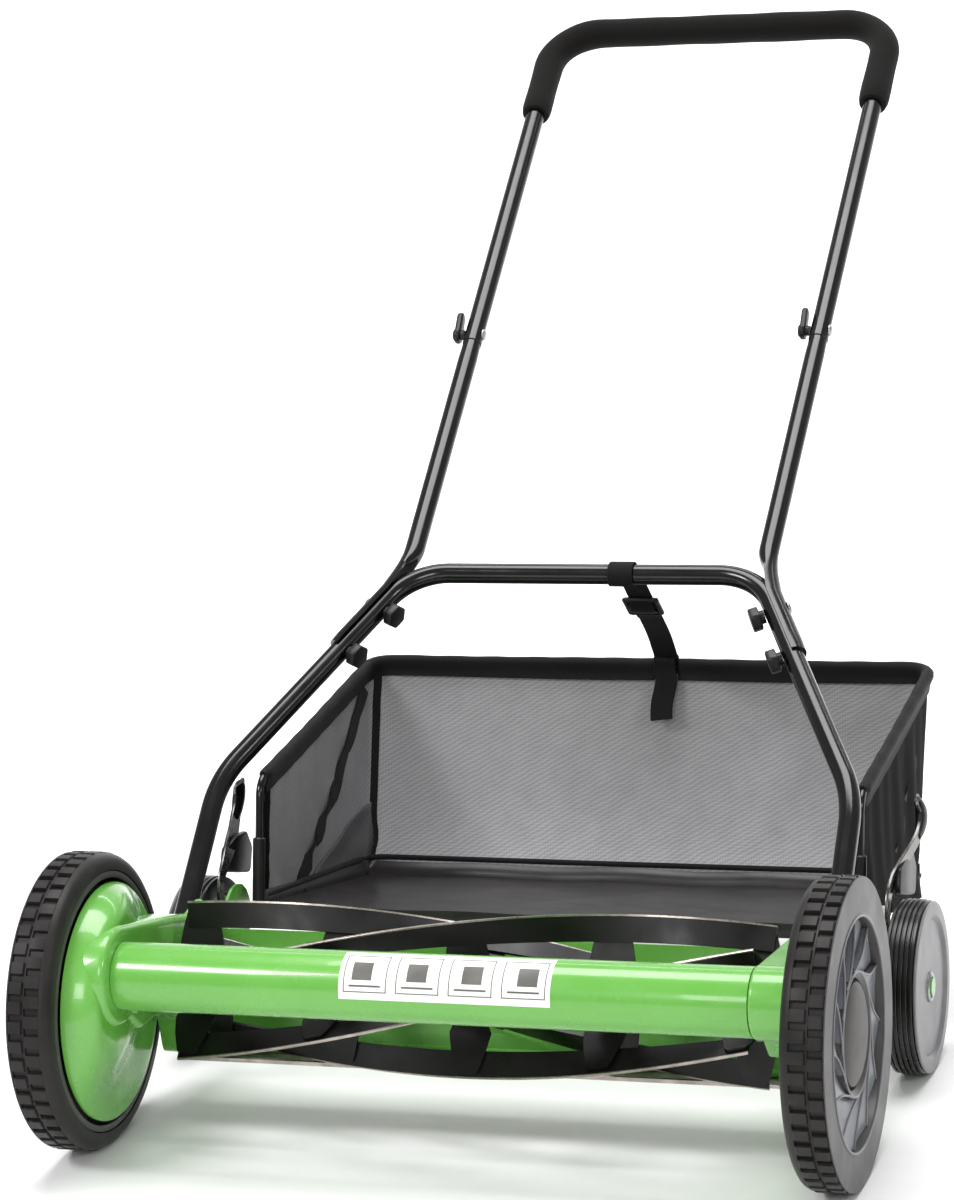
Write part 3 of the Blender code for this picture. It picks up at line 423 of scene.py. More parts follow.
def rounded(points: Profile, radius: float, steps: int = 4) -> Points:
    """Round the corners of a flat outline or profile.

    Args:
        points: The corners.
        radius: The rounding, made smaller where a side is too short for it.
        steps: Stretches on each corner.

    Returns:
        The rounded outline.
    """
    count = len(points)
    result: Points = []
    for index, corner in enumerate(points):
        here = Vector(corner)
        before = Vector(points[index - 1]) - here
        after = Vector(points[(index + 1) % count]) - here
        half = before.angle(after) / 2
        if half > math.radians(87):
            result.append(tuple(corner))
            continue
        reach = min(radius / math.tan(half), before.length * 0.48, after.length * 0.48)
        start = here + before.normalized() * reach
        end = here + after.normalized() * reach
        for step in range(steps + 1):
            share = step / steps
            curve = start * (1 - share) ** 2 + here * 2 * share * (1 - share) + end * share ** 2
            result.append(tuple(curve))
    return result


def inset(outline: Profile, distance: float) -> Points:
    """Move a closed outline inwards.

    Args:
        outline: The outline.
        distance: How far it moves.

    Returns:
        The smaller outline, with as many points.
    """
    count = len(outline)
    doubled = sum(a[0] * b[1] - b[0] * a[1] for a, b in zip(outline, [*outline[1:], outline[0]]))
    turn = math.copysign(1.0, doubled)
    result = []
    for index in range(count):
        first = (Vector(outline[index]) - Vector(outline[index - 1])).normalized()
        second = (Vector(outline[(index + 1) % count]) - Vector(outline[index])).normalized()
        normal = Vector((-first.y - second.y, first.x + second.x)).normalized() * turn
        cosine = normal.dot(Vector((-first.y, first.x)) * turn)
        result.append(tuple(Vector(outline[index]) + normal * distance / max(cosine, 0.5)))
    return result


def skin(rings: Sequence[Sequence[Vector]], closed: bool = False) -> Form:
    """Lay faces between rings of points.

    Args:
        rings: Rings with the same number of points.
        closed: Whether the last ring joins the first; an open row gets end faces.

    Returns:
        The mesh.
    """
    form = bmesh.new()
    loops = [[form.verts.new(point) for point in ring] for ring in rings]
    pairs = list(zip(loops, loops[1:]))
    if closed:
        pairs.append((loops[-1], loops[0]))
    for first, second in pairs:
        for index in range(len(first)):
            after = (index + 1) % len(first)
            form.faces.new((first[index], first[after], second[after], second[index]))
    if not closed:
        form.faces.new(loops[0])
        form.faces.new(loops[-1])
    return form


def turned(profile: Profile, centre: Vector, segments: int = 96) -> Form:
    """Turn a profile about a line that runs across the machine.

    Args:
        profile: Points of (x, radius), whose last joins the first.
        centre: A point on the line.
        segments: Steps in a full turn.

    Returns:
        The mesh.
    """
    form = bmesh.new()
    middle = Vector((0.0, centre.y, centre.z))
    verts = [form.verts.new(middle + Vector((x, radius, 0.0))) for x, radius in profile]
    edges = [form.edges.new(pair) for pair in zip(verts, [*verts[1:], verts[0]])]
    bmesh.ops.spin(form, geom=verts + edges, cent=middle, axis=(1, 0, 0), angle=math.tau, steps=segments,
                   use_merge=True)
    bmesh.ops.remove_doubles(form, verts=form.verts, dist=1e-7)
    return form


def plate(outline: Profile, low: float, high: float, edge: float = 0.0) -> Form:
    """Make a flat plate that lies across the machine's X.

    Args:
        outline: Its (y, z) outline.
        low: X of one face.
        high: X of the other face.
        edge: The width of its eased edges.

    Returns:
        The mesh.
    """
    rings = []
    levels = [(low, edge), (low + edge * 0.3, edge * 0.3), (low + edge, 0.0),
              (high - edge, 0.0), (high - edge * 0.3, edge * 0.3), (high, edge)]
    for x, step in levels if edge else [(low, 0.0), (high, 0.0)]:
        ring = inset(outline, step) if step else outline
        rings.append([Vector((x, y, z)) for y, z in ring])
    return skin(rings)


def joined(forms: Sequence[Form]) -> Form:
    """Put several meshes in one.

    Args:
        forms: The meshes, which are freed.

    Returns:
        The mesh that holds them all.
    """
    whole = bmesh.new()
    for form in forms:
        part = bpy.data.meshes.new("part")
        form.to_mesh(part)
        form.free()
        whole.from_mesh(part)
        bpy.data.meshes.remove(part)
    return whole


def bent(points: Sequence[Vector], radii: Sequence[float], steps: int = 12) -> list[Vector]:
    """Return a path whose inner corners are bends.

    Args:
        points: The corners of the path.
        radii: The bend radius at each inner corner.
        steps: Stretches in each bend.

    Returns:
        The points of the path.
    """
    path = [points[0]]
    for before, corner, after, radius in zip(points, points[1:], points[2:], radii):
        incoming = (before - corner).normalized()
        outgoing = (after - corner).normalized()
        half = incoming.angle(outgoing) / 2
        middle = corner + (incoming + outgoing).normalized() * (radius / math.sin(half))
        start = corner + incoming * (radius / math.tan(half))
        axis = incoming.cross(outgoing)
        for index in range(steps + 1):
            turn = Matrix.Rotation(-(math.pi - 2 * half) * index / steps, 3, axis)
            path.append(middle + turn @ (start - middle))
    path.append(points[-1])
    return path


def flowing(points: Sequence[Vector], steps: int = 8) -> list[Vector]:
    """Lay a smooth path through points, by a Catmull-Rom curve.

    Args:
        points: The points it passes.
        steps: Stretches between two of them.

    Returns:
        The points of the path.
    """
    path = []
    ends = [points[0] * 2 - points[1], *points, points[-1] * 2 - points[-2]]
    for a, b, c, d in zip(ends, ends[1:], ends[2:], ends[3:]):
        for index in range(steps):
            t = index / steps
            path.append(0.5 * (2 * b + (c - a) * t + (2 * a - 5 * b + 4 * c - d) * t ** 2
                               + (3 * b - a - 3 * c + d) * t ** 3))
    path.append(points[-1])
    return path


def sampled(path: Sequence[Vector], step: float) -> list[Vector]:
    """Cut the long stretches of a path into pieces.

    Args:
        path: The path.
        step: About how long a piece is.

    Returns:
        The points of the same path.
    """
    result = []
    for first, second in zip(path, path[1:]):
        count = max(1, round((second - first).length / step))
        result += [first.lerp(second, index / count) for index in range(count)]
    return [*result, path[-1]]


def mirrored(points: Sequence[Vector]) -> list[Vector]:
    """Return the points reflected to the other side, in reverse order."""
    return [Vector((-point.x, point.y, point.z)) for point in reversed(points)]


def directions(path: Sequence[Vector]) -> list[Vector]:
    """Return the unit direction of a path at each of its points."""
    ends = [path[0], *path, path[-1]]
    return [(after - before).normalized() for before, after in zip(ends, ends[2:])]


def swept(path: Sequence[Vector], section: Callable[[int, Vector, Vector], list[Vector]],
          up: Vector | None = None) -> Form:
    """Carry a section along a path.

    Args:
        path: The centre line.
        section: Gives the ring at a point from its index and two unit directions across the path.
        up: The direction that the second one keeps to; left out, the frame turns as little as it can.

    Returns:
        The mesh.
    """
    rings = []
    side = None
    for index, (point, tangent) in enumerate(zip(path, directions(path))):
        if up is not None:
            side = tangent.cross(up)
        elif side is None:
            side = tangent.orthogonal()
        side = (side - tangent * side.dot(tangent)).normalized()
        rings.append([point + offset for offset in section(index, side, side.cross(tangent))])
    return skin(rings)


def oval(side: Vector, up: Vector, wide: float, high: float, count: int) -> list[Vector]:
    """Return an oval ring of offsets, from its half sizes along two directions."""
    turns = [math.tau * k / count for k in range(count)]
    return [wide * math.cos(turn) * side + high * math.sin(turn) * up for turn in turns]


def strap_ring(across: Vector, through: Vector, half: float, edge: float, nose: float) -> list[Vector]:
    """Return a flat ring: half its flat's width, half its thickness, and how far its edges stand out."""
    flat = [(-half, -edge), (half, -edge), (half + nose, 0.0), (half, edge), (-half, edge), (-half - nose, 0.0)]
    return [across * a + through * b for a, b in flat]


def tube(path: Sequence[Vector], radius: float, sides: int = 32, ease: float = 0.0015) -> Form:
    """Make a round bar along a path.

    Args:
        path: Its centre line.
        radius: Its radius.
        sides: Points round it.
        ease: How much its end edges are eased.

    Returns:
        The mesh.
    """
    tangents = directions(path)
    line = [path[0], path[0] + tangents[0] * ease, *path[1:-1], path[-1] - tangents[-1] * ease, path[-1]]
    sizes = [radius - ease, *[radius] * (len(line) - 2), radius - ease]
    return swept(line, lambda index, side, up: oval(side, up, sizes[index], sizes[index], sides))


def band(path: Sequence[Vector], width: float, thickness: float, across: Vector) -> Form:
    """Make a flat strap along a path, with rounded selvedges.

    Args:
        path: The centre line.
        width: The width of the strap.
        thickness: Its thickness.
        across: The direction of its width.

    Returns:
        The mesh.
    """
    edge = thickness * 0.5
    rings = []
    for point, tangent in zip(path, directions(path)):
        side = (across - tangent * across.dot(tangent)).normalized()
        rings.append([point + offset for offset in strap_ring(side, side.cross(tangent), width / 2 - edge, edge, edge)])
    return skin(rings)


def dome(place: Vector, axis: Vector, radius: float, height: float, sides: int = 20) -> Form:
    """Make the round head of a bolt or rivet.

    Args:
        place: The middle of its foot.
        axis: The direction in which it stands.
        radius: Its radius.
        height: Its height.
        sides: Points round it.

    Returns:
        The mesh.
    """
    side = axis.orthogonal().normalized()
    up = axis.cross(side)
    rings = []
    for share, size in ((0.0, 1.0), (0.35, 0.97), (0.65, 0.84), (0.88, 0.6), (0.98, 0.3), (1.0, 0.08)):
        middle = place + axis * height * share
        rings.append([middle + offset for offset in oval(side, up, radius * size, radius * size, sides)])
    return skin(rings)


def hexagon(place: Vector, axis: Vector, across_flats: float, height: float) -> Form:
    """Make a hexagon head or nut with a chamfered top.

    Args:
        place: The middle of its foot.
        axis: The direction in which it stands.
        across_flats: Its size over two flats.
        height: Its height.

    Returns:
        The mesh.
    """
    side = axis.orthogonal().normalized()
    up = axis.cross(side)
    radius = across_flats / math.sqrt(3)
    rings = []
    for level, size in ((0.0, 1.0), (height * 0.8, 1.0), (height, 0.86)):
        middle = place + axis * level
        rings.append([middle + offset for offset in oval(side, up, radius * size, radius * size, 6)])
    return skin(rings)


def open_sheet(rows: Sequence[Sequence[Vector]]) -> Form:
    """Lay faces over rows of points.

    Args:
        rows: Rows with the same number of points.

    Returns:
        The mesh, without thickness.
    """
    form = bmesh.new()
    grid = [[form.verts.new(point) for point in row] for row in rows]
    for first, second in zip(grid, grid[1:]):
        for index in range(len(first) - 1):
            form.faces.new((first[index], first[index + 1], second[index + 1], second[index]))
    return form


# Pieces

def make_piece(name: str, form: Form, finish: Finish, body: str,
               replaces: Sequence[str] = (), side: Side = Side.RIGHT, crease: float = 35.0) -> bpy.types.Object:
    """Turn a mesh into a dressed piece that rides on a body.

    Args:
        name: The piece's name.
        form: Its mesh, for the right-hand side.
        finish: What it is made of.
        body: The body of the frame that carries it.
        replaces: The frame's nodes that it stands for.
        side: LEFT mirrors the mesh.
        crease: Edges sharper than this many degrees stay sharp.

    Returns:
        The object.
    """
    if side is Side.LEFT:
        bmesh.ops.scale(form, vec=(-1, 1, 1), verts=form.verts)
    bmesh.ops.recalc_face_normals(form, faces=form.faces)
    mesh = bpy.data.meshes.new(name)
    form.to_mesh(mesh)
    form.free()
    mesh.shade_smooth()
    mesh.set_sharp_from_angle(angle=math.radians(crease))
    mesh.materials.append(finish.material())
    item = bpy.data.objects.new(name, mesh)
    bpy.context.scene.collection.objects.link(item)
    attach(item, body)
    if replaces:
        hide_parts(*replaces)
    LOG.info("%s rides on %s: %d faces", name, body, len(mesh.polygons))
    return item


def side_piece(side: Side, name: str, form: Form, finish: Finish, body: str,
               replaces: Sequence[str] = (), crease: float = 35.0) -> bpy.types.Object:
    """Make a piece that each side has: its name and its nodes take the side's label.

    Args:
        side: The side.
        name: The piece's name.
        form: Its mesh, for the right-hand side.
        finish: What it is made of.
        body: The body of the frame that carries it.
        replaces: The frame's nodes that it stands for.
        crease: Edges sharper than this many degrees stay sharp.

    Returns:
        The object.
    """
    nodes = [f"{node}_{side.label}" for node in replaces]
    return make_piece(f"{name}_{side.label}", form, finish, body, nodes, side, crease)


def dress_node(name: str, finish: Finish, edge: float = 0.0) -> None:
    """Give a node of the frame its finish, and ease its edges by a modifier.

    Args:
        name: The node.
        finish: What it is made of.
        edge: The width of the eased edge.
    """
    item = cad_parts[name]
    item.data.materials.clear()
    item.data.materials.append(finish.material())
    if edge:
        ease = item.modifiers.new("Eased edges", "BEVEL")
        ease.width = edge
        ease.segments = 2
        ease.limit_method = "ANGLE"
        ease.angle_limit = math.radians(40)
        ease.harden_normals = True
    LOG.info("%s is finished in %s", name, finish.name)


@dataclass(frozen=True)
class Datum:
    """Places read from the frame. Profiles count Y from the front axle."""

    axle: Vector
    tube: Vector
    reel: Vector
    rear: Vector

    @classmethod
    def from_frame(cls) -> "Datum":
        """Read the centres of the wheels, tube and reel.

        Returns:
            The places.
        """
        found = []
        for node in ("front_wheel_right", "front_tube", "reel_shaft", "rear_wheel_right"):
            low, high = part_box(node)
            found.append((low + high) / 2)
        return cls(*found)

    def at(self, x: float, y: float, z: float) -> Vector:
        """Return the point that lies y behind the front axle."""
        return Vector((x, self.axle.y + y, z))

    def flat(self, points: Profile) -> Points:
        """Carry a (y, z) outline from the axle into place."""
        return [(self.axle.y + y, z) for y, z in points]


@dataclass
class Chassis:
    """Green front tube and side pans, the cutter bar and what is bolted to them."""

    datum: Datum
    tube_radius: float = 0.0287
    tube_end: float = 0.2717
    label_from: float = -0.070
    label_to: float = 0.110
    label_low: float = -0.002
    label_height: float = 0.046
    label_panels: int = 4
    rule: float = 0.0008
    pan_x: float = 0.272
    pan_rim_x: float = 0.300
    pan_thickness: float = 0.0025
    pan_bend: float = 0.006
    collar_radii: dict[Side, float] = field(default_factory=lambda: {Side.LEFT: 0.042, Side.RIGHT: 0.0300})
    cover_radius: float = 0.1016
    dome_x: float = 0.2795
    cover_rim_x: float = 0.3045
    body: str = "chassis"

    def build(self) -> None:
        """Make the whole chassis."""
        self.build_tube()
        self.build_label()
        for side in Side:
            self.build_pan(side)
            self.build_cover(side)
            self.dress_small_parts(side)
        dress_node("cutter_bar", GREEN_ENAMEL, 0.0006)
        dress_node("bed_knife", GROUND_STEEL, 0.0002)
        self.build_screws()

    def build_tube(self) -> None:
        """Front tube, with a rolled edge at each end."""
        profile = rounded([(-self.tube_end, self.tube_radius), (self.tube_end, self.tube_radius),
                           (self.tube_end, self.tube_radius - 0.0015), (-self.tube_end, self.tube_radius - 0.0015)],
                          0.0005)
        form = turned(profile, self.datum.tube, 96)
        make_piece("enamelled_front_tube", form, GREEN_ENAMEL, self.body, ["front_tube"])

    def on_tube(self, x: float, along: float, radius: float) -> Vector:
        """Return the point on the tube at an arc length above its front line."""
        angle = along / self.tube_radius
        return Vector((x, self.datum.tube.y - radius * math.cos(angle), self.datum.tube.z + radius * math.sin(angle)))

    def build_label(self) -> None:
        """Plain white film on the tube with four ruled panels of simple marks."""
        low = self.label_low
        high = low + self.label_height
        film = self.strip(self.label_from, self.label_to, low, high, 0.00025)
        make_piece("vinyl_label", film, VINYL_FILM, self.body)
        width = (self.label_to - self.label_from) / self.label_panels
        rule = self.rule
        marks = []
        for panel in range(self.label_panels):
            left = self.label_from + width * panel + 0.004
            right = left + width - 0.008
            bottom = low + 0.006
            top = high - 0.006
            for strip in ((left, right, bottom, bottom + rule), (left, right, top - rule, top),
                          (left, left + rule, bottom, top), (right - rule, right, bottom, top)):
                marks.append(self.strip(*strip, 0.0004))
            marks.append(self.strip(left + 0.007 + 0.002 * panel, right - 0.013 + 0.002 * panel, bottom + 0.010,
                                    top - 0.008, 0.0004))
            marks.append(self.strip(left + 0.005, right - 0.005, bottom + 0.0045, bottom + 0.0060, 0.0004))
        make_piece("label_print", joined(marks), VINYL_INK, self.body)

    def strip(self, low: float, high: float, start: float, end: float, lift: float) -> Form:
        """Return a rectangle of film bent round the tube, as a closed sliver.

        Args:
            low: Its lowest X.
            high: Its highest X.
            start: Arc length of its lower edge above the tube's front line.
            end: Arc length of its upper edge.
            lift: The height of its face above the tube.

        Returns:
            The mesh.
        """
        steps = max(1, round((end - start) / 0.002))
        rings = []
        for index in range(steps + 1):
            along = start + (end - start) * index / steps
            rings.append([self.on_tube(low, along, self.tube_radius + 0.0001),
                          self.on_tube(high, along, self.tube_radius + 0.0001),
                          self.on_tube(high, along, self.tube_radius + lift),
                          self.on_tube(low, along, self.tube_radius + lift)])
        return skin(rings)

    def pan_outline(self, side: Side) -> Points:
        """Work out the pan's outline: round at the tube, with an ear at the handle.

        Args:
            side: The side of the machine.

        Returns:
            Points of (y, z) from the front axle.
        """
        tube = (self.datum.tube.y - self.datum.axle.y, self.datum.tube.z)
        corners = [(-0.012, 0.1075), (0.020, 0.1075), (0.060, 0.100), (0.083, 0.085), (0.090, 0.050),
                   (0.125, 0.046), (0.187, 0.080), (0.192, 0.105), (0.180, 0.128), (0.160, 0.150),
                   (0.153, 0.170), (0.141, 0.177), (0.126, 0.176), (0.112, 0.172), (0.070, 0.183)]
        loop = rounded([*arc(tube, self.collar_radii[side], 75, 285, 36), *corners], 0.012, 5)
        return [(point.x, point.y) for point in sampled([Vector((*point, 0.0)) for point in loop], 0.004)]

    def rim_reach(self, side: Side, y: float, z: float) -> float:
        """Work out how far outboard of its face the pan's rim may stand.

        Args:
            side: The side of the machine.
            y: Distance behind the front axle.
            z: Height.

        Returns:
            The height of the rim there: lower where it meets the left cover, and at the handle's ear.
        """
        full = self.pan_rim_x - self.pan_x
        if side is Side.LEFT and math.hypot(y, z - self.datum.axle.z) < self.cover_radius + 0.002:
            return min(full, self.boss_x(y, z) - self.pan_x)
        if 0.096 < y < 0.177 and z > 0.150:
            return self.pan_bend + 0.001
        return full

    def build_pan(self, side: Side) -> None:
        """Pressed side plate: a flat face, a rounded bend and a rim that stands outboard.

        Args:
            side: The side of the machine.
        """
        outline = self.pan_outline(side)
        bend = self.pan_bend if side is Side.LEFT else self.pan_bend / 2
        wall = self.pan_thickness

        def layer(depth: float, step: float) -> list[Vector]:
            """Place the outline outboard of the face.

            Args:
                depth: How far outboard, where the rim reaches that far.
                step: How far the outline moves inwards.

            Returns:
                The ring of points.
            """
            ring = []
            for (y, z), (inner_y, inner_z) in zip(outline, inset(outline, step)):
                reach = min(depth, self.rim_reach(side, y, z))
                ring.append(self.datum.at(self.pan_x + reach, inner_y, inner_z))
            return ring

        depth = self.pan_rim_x - self.pan_x
        rings = [layer(wall, bend * 1.6)]
        rings += [layer(bend - y, bend - z) for y, z in arc((0.0, 0.0), bend - wall, 0, 90, 6)]
        rings += [layer(depth, wall), layer(depth, wall * 0.5), layer(depth, 0.0003)]
        rings += [layer(bend - y, bend - z) for y, z in arc((0.0, 0.0), bend, 90, 0, 6)]
        rings.append(layer(0.0, bend * 1.6))
        side_piece(side, "pressed_side_pan", skin(rings), GREEN_ENAMEL, self.body, ["side_plate"], 50.0)

    def build_cover(self, side: Side) -> None:
        """Disc that closes the wheel: domed on the left, flat with a dished rim on the right.

        Args:
            side: The side of the machine.
        """
        low = self.pan_rim_x + 0.0003
        radius = self.cover_radius
        profile = [(low, 0.0095), (low, 0.074), (low + 0.0012, 0.082), (low + 0.0062, radius - 0.004),
                   (low + 0.0078, radius), (low + 0.0095, radius), (low + 0.0090, radius - 0.005),
                   (low + 0.0030, 0.0815), (low + 0.0020, 0.074), (low + 0.0020, 0.0095)]
        form = self.boss_form() if side is Side.LEFT else turned(rounded(profile, 0.006, 6), self.datum.axle, 128)
        side_piece(side, "wheel_dish", form, GREEN_ENAMEL, self.body, ["wheel_cover"])

    def boss_x(self, y: float, z: float) -> float:
        """Work out where the left cover's face lies: it swells in to meet the pan's collar.

        Args:
            y: Distance behind the front axle.
            z: Height.

        Returns:
            Its distance from the machine's middle.
        """
        tube = (self.datum.tube.y - self.datum.axle.y, self.datum.tube.z)
        near = min(1.0, max(0.0, 1.0 - (math.dist((y, z), tube) - 0.046) / 0.075))
        inside = min(1.0, max(0.0, (self.cover_radius - math.hypot(y, z - self.datum.axle.z)) / 0.016))
        near = near * near * (3 - 2 * near)
        inside = math.sqrt(inside * (2 - inside))
        return self.cover_rim_x - (self.cover_rim_x - self.dome_x) * near * inside - 0.003 * inside

    def boss_form(self) -> Form:
        """Make the left cover, whose face swells round the collar.

        Returns:
            Its mesh.
        """
        radii = [0.0095 + (self.cover_radius - 0.0095) * (1 - (1 - k / 30) ** 1.6) for k in range(31)]
        rings = []
        sides = 128
        for wall, order in ((0.0, radii), (0.002, radii[::-1])):
            for radius in order:
                ring = []
                for k in range(sides):
                    y = radius * math.cos(math.tau * k / sides)
                    z = self.datum.axle.z + radius * math.sin(math.tau * k / sides)
                    ring.append(self.datum.at(self.boss_x(y, z) + wall, y, z))
                rings.append(ring)
        return skin(rings, closed=True)

    def dress_small_parts(self, side: Side) -> None:
        """Axle, bearing, quadrant and pivot bolt of one side.

        Args:
            side: The side of the machine.
        """
        for node, finish in (("wheel_axle", ZINC_STEEL), ("reel_bearing", SINTERED_BRONZE),
                             ("adjuster_quadrant", GREEN_ENAMEL), ("handle_pivot_bolt", ZINC_STEEL)):
            dress_node(f"{node}_{side.label}", finish, 0.0004)

    def build_screws(self) -> None:
        """Pan-head screws under the cutter bar, and a bolt head low on each pan by the tube."""
        heads = []
        for number in range(7):
            place = self.datum.at(-0.24 + 0.08 * number, 0.100, 0.0595)
            heads.append(dome(place, Vector((0, 0, 1)), 0.0042, 0.0028))
        make_piece("knife_screws", joined(heads), ZINC_STEEL, self.body)
        for side in Side:
            spot = self.datum.at(self.pan_x, -0.028, 0.1315)
            form = hexagon(spot, Vector((-1, 0, 0)), 0.008, 0.004)
            side_piece(side, "pan_bolt", form, GREEN_ENAMEL, self.body)


@dataclass
class FrontWheel:
    """One geared front wheel: block tyre, vaned moulding and domed cap."""

    datum: Datum
    side: Side
    inner_x: float = 0.3069
    outer_x: float = 0.3449
    radius: float = 0.127
    tread_depth: float = 0.0036
    blocks: int = 48
    slot_share: float = 0.42
    stagger: float = 0.30
    vanes: int = 12
    hub_radius: float = 0.051
    ring_radius: float = 0.095
    web_x: float = 0.3364
    web_crest: float = 0.3426
    vane_sweep: float = 0.20
    vane_hook: float = 0.34

    def build(self) -> None:
        """Make the wheel."""
        self.build_tyre()
        self.build_moulding()
        self.build_vanes()
        self.build_cap()
        dress_node(f"pinion_{self.side.label}", ZINC_STEEL, 0.0002)

    @property
    def body(self) -> str:
        """Return the body that carries the wheel."""
        return f"wheel_{self.side.label}"

    def build_tyre(self) -> None:
        """Tyre with two rows of staggered blocks and a smooth inner shoulder."""
        top = self.radius
        root = top - self.tread_depth
        seat = 0.1118
        face_x = self.outer_x - 0.0018
        section = [(self.inner_x, seat, None), (self.inner_x, 0.1165, None), (self.inner_x + 0.0010, 0.1206, None),
                   (self.inner_x + 0.0032, 0.1238, None), (self.inner_x + 0.0062, 0.1256, None),
                   (self.inner_x + 0.0088, 0.1262, None), (self.inner_x + 0.0092, top - 0.0004, 0),
                   (self.inner_x + 0.0100, top, 0), (self.inner_x + 0.0214, top, 0),
                   (self.inner_x + 0.0220, top - 0.0006, 0), (self.inner_x + 0.0224, root + 0.0016, None),
                   (self.inner_x + 0.0240, root + 0.0016, None), (self.inner_x + 0.0244, top - 0.0006, 1),
                   (self.inner_x + 0.0250, top, 1), (face_x - 0.0012, top, 1), (face_x, top - 0.0010, 1),
                   (face_x, root - 0.001, None), (face_x, seat, None)]
        pitch = math.tau / self.blocks
        slot = pitch * self.slot_share
        wall = slot * 0.14
        stations = []
        for row in range(2):
            start = row * pitch * self.stagger
            for edge, low in ((0.0, False), (wall, True), (slot - wall, True), (slot, False)):
                stations.append(((start + edge) % pitch, row, low))
        angles = sorted({angle for angle, _, _ in stations} | {pitch * 0.86})
        rings = []
        for block in range(self.blocks):
            for angle in angles:
                ring = []
                for x, radius, row in section:
                    if row is not None:
                        local = (angle - row * pitch * self.stagger) % pitch
                        in_slot = wall - 1e-9 <= local <= slot - wall + 1e-9
                        radius = min(radius, root) if in_slot else radius
                    ring.append(self.polar(x, radius, block * pitch + angle))
                rings.append(ring)
        form = skin(rings, closed=True)
        side_piece(self.side, "block_tyre", form, TREAD_RUBBER, self.body, ["front_tyre"], 30.0)

    def build_moulding(self) -> None:
        """Wheel moulding: a broad flat ring, a dished web and a hub ring."""
        outer = self.outer_x
        flange = [(0.3070, 0.1052), (0.3068, 0.1078), (0.3074, 0.1110), (outer - 0.0016, 0.1114),
                  (outer - 0.0014, 0.1258), (outer - 0.0005, 0.1264), (outer, 0.1258)]
        face = [(outer - 0.0002, self.ring_radius + 0.0026), (outer + 0.0006, self.ring_radius + 0.0016),
                (outer + 0.0006, self.ring_radius + 0.0004), (outer - 0.0010, self.ring_radius - 0.0010),
                (0.3362, self.ring_radius - 0.0022), (0.3350, self.hub_radius + 0.0020),
                (0.3405, self.hub_radius + 0.0006), (0.3426, self.hub_radius - 0.0004),
                (0.3426, self.hub_radius - 0.0018), (0.3400, 0.0450), (0.3365, 0.0440), (0.3362, 0.0070)]
        back = [(0.3045, 0.0070), (0.3045, 0.0160), (0.3320, 0.0165), (0.3320, 0.1050)]
        profile = rounded([*flange, *face, *back], 0.0012, 3)
        form = turned(profile, self.datum.axle, 128)
        side_piece(self.side, "wheel_moulding", form, GREY_POLYPROPYLENE, self.body,
                   ["front_wheel"])

    def build_vanes(self) -> None:
        """Curved turbine vanes with a thin proud edge and a hook at the hub."""
        blades = []
        edges = []
        width = -0.92 * math.tau / self.vanes
        steps = 14
        low = self.web_x
        for number in range(self.vanes):
            base = number * math.tau / self.vanes
            crest = []
            rings = []
            for index in range(steps + 1):
                share = index / steps
                radius = self.hub_radius + 0.0015 + (self.ring_radius - self.hub_radius - 0.0035) * share
                lead = base - self.vane_sweep * share + self.vane_hook * (1 - share) ** 5
                high = self.web_crest - 0.0002 - 0.0020 * share
                section = ((low - 0.0012, 0.0), (high, 0.0), (high - 0.0022, 0.25), (low + 0.0010, 0.70), (low, 1.0),
                           (low - 0.0012, 1.0))
                rings.append([self.polar(x, radius, lead + width * part) for x, part in section])
                crest.append(self.polar(high + 0.0002, radius, lead))
            blades.append(skin(rings))
            hook = self.polar(self.web_crest - 0.0004, self.hub_radius + 0.0004, base + self.vane_hook + 0.18)
            edges.append(tube([hook, *crest], 0.0010, 8, 0.0004))
        for radius, x in ((self.ring_radius, self.outer_x), (self.hub_radius - 0.0008, self.web_crest)):
            bead = [(x + 0.0009 * math.cos(math.radians(a)), radius + 0.0011 * math.sin(math.radians(a)))
                    for a in range(0, 360, 45)]
            edges.append(turned(bead, self.datum.axle, 96))
        # The vanes take the lighter copy of the grey moulding, as painted light on their walls.
        side_piece(self.side, "wheel_vanes", joined(blades), VANE_POLYPROPYLENE_PAINTED_LIGHT, self.body)
        side_piece(self.side, "vane_edges", joined(edges), PALE_POLYPROPYLENE, self.body)

    def polar(self, x: float, radius: float, angle: float) -> Vector:
        """Return a point of the wheel from its radius and angle."""
        return Vector((x, self.datum.axle.y + radius * math.cos(angle), self.datum.axle.z + radius * math.sin(angle)))

    def build_cap(self) -> None:
        """Domed hub cap."""
        profile = [(0.3368, 0.0424), (0.3395, 0.0428), (0.3412, 0.0420), (0.3430, 0.0385), (0.3448, 0.0320),
                   (0.3460, 0.0240), (0.3467, 0.0140), (0.3470, 0.0), (0.3440, 0.0), (0.3430, 0.0280),
                   (0.3368, 0.0405)]
        form = turned(profile, self.datum.axle, 96)
        side_piece(self.side, "domed_cap", form, BROWN_POLYPROPYLENE, self.body, ["hub_cap"])


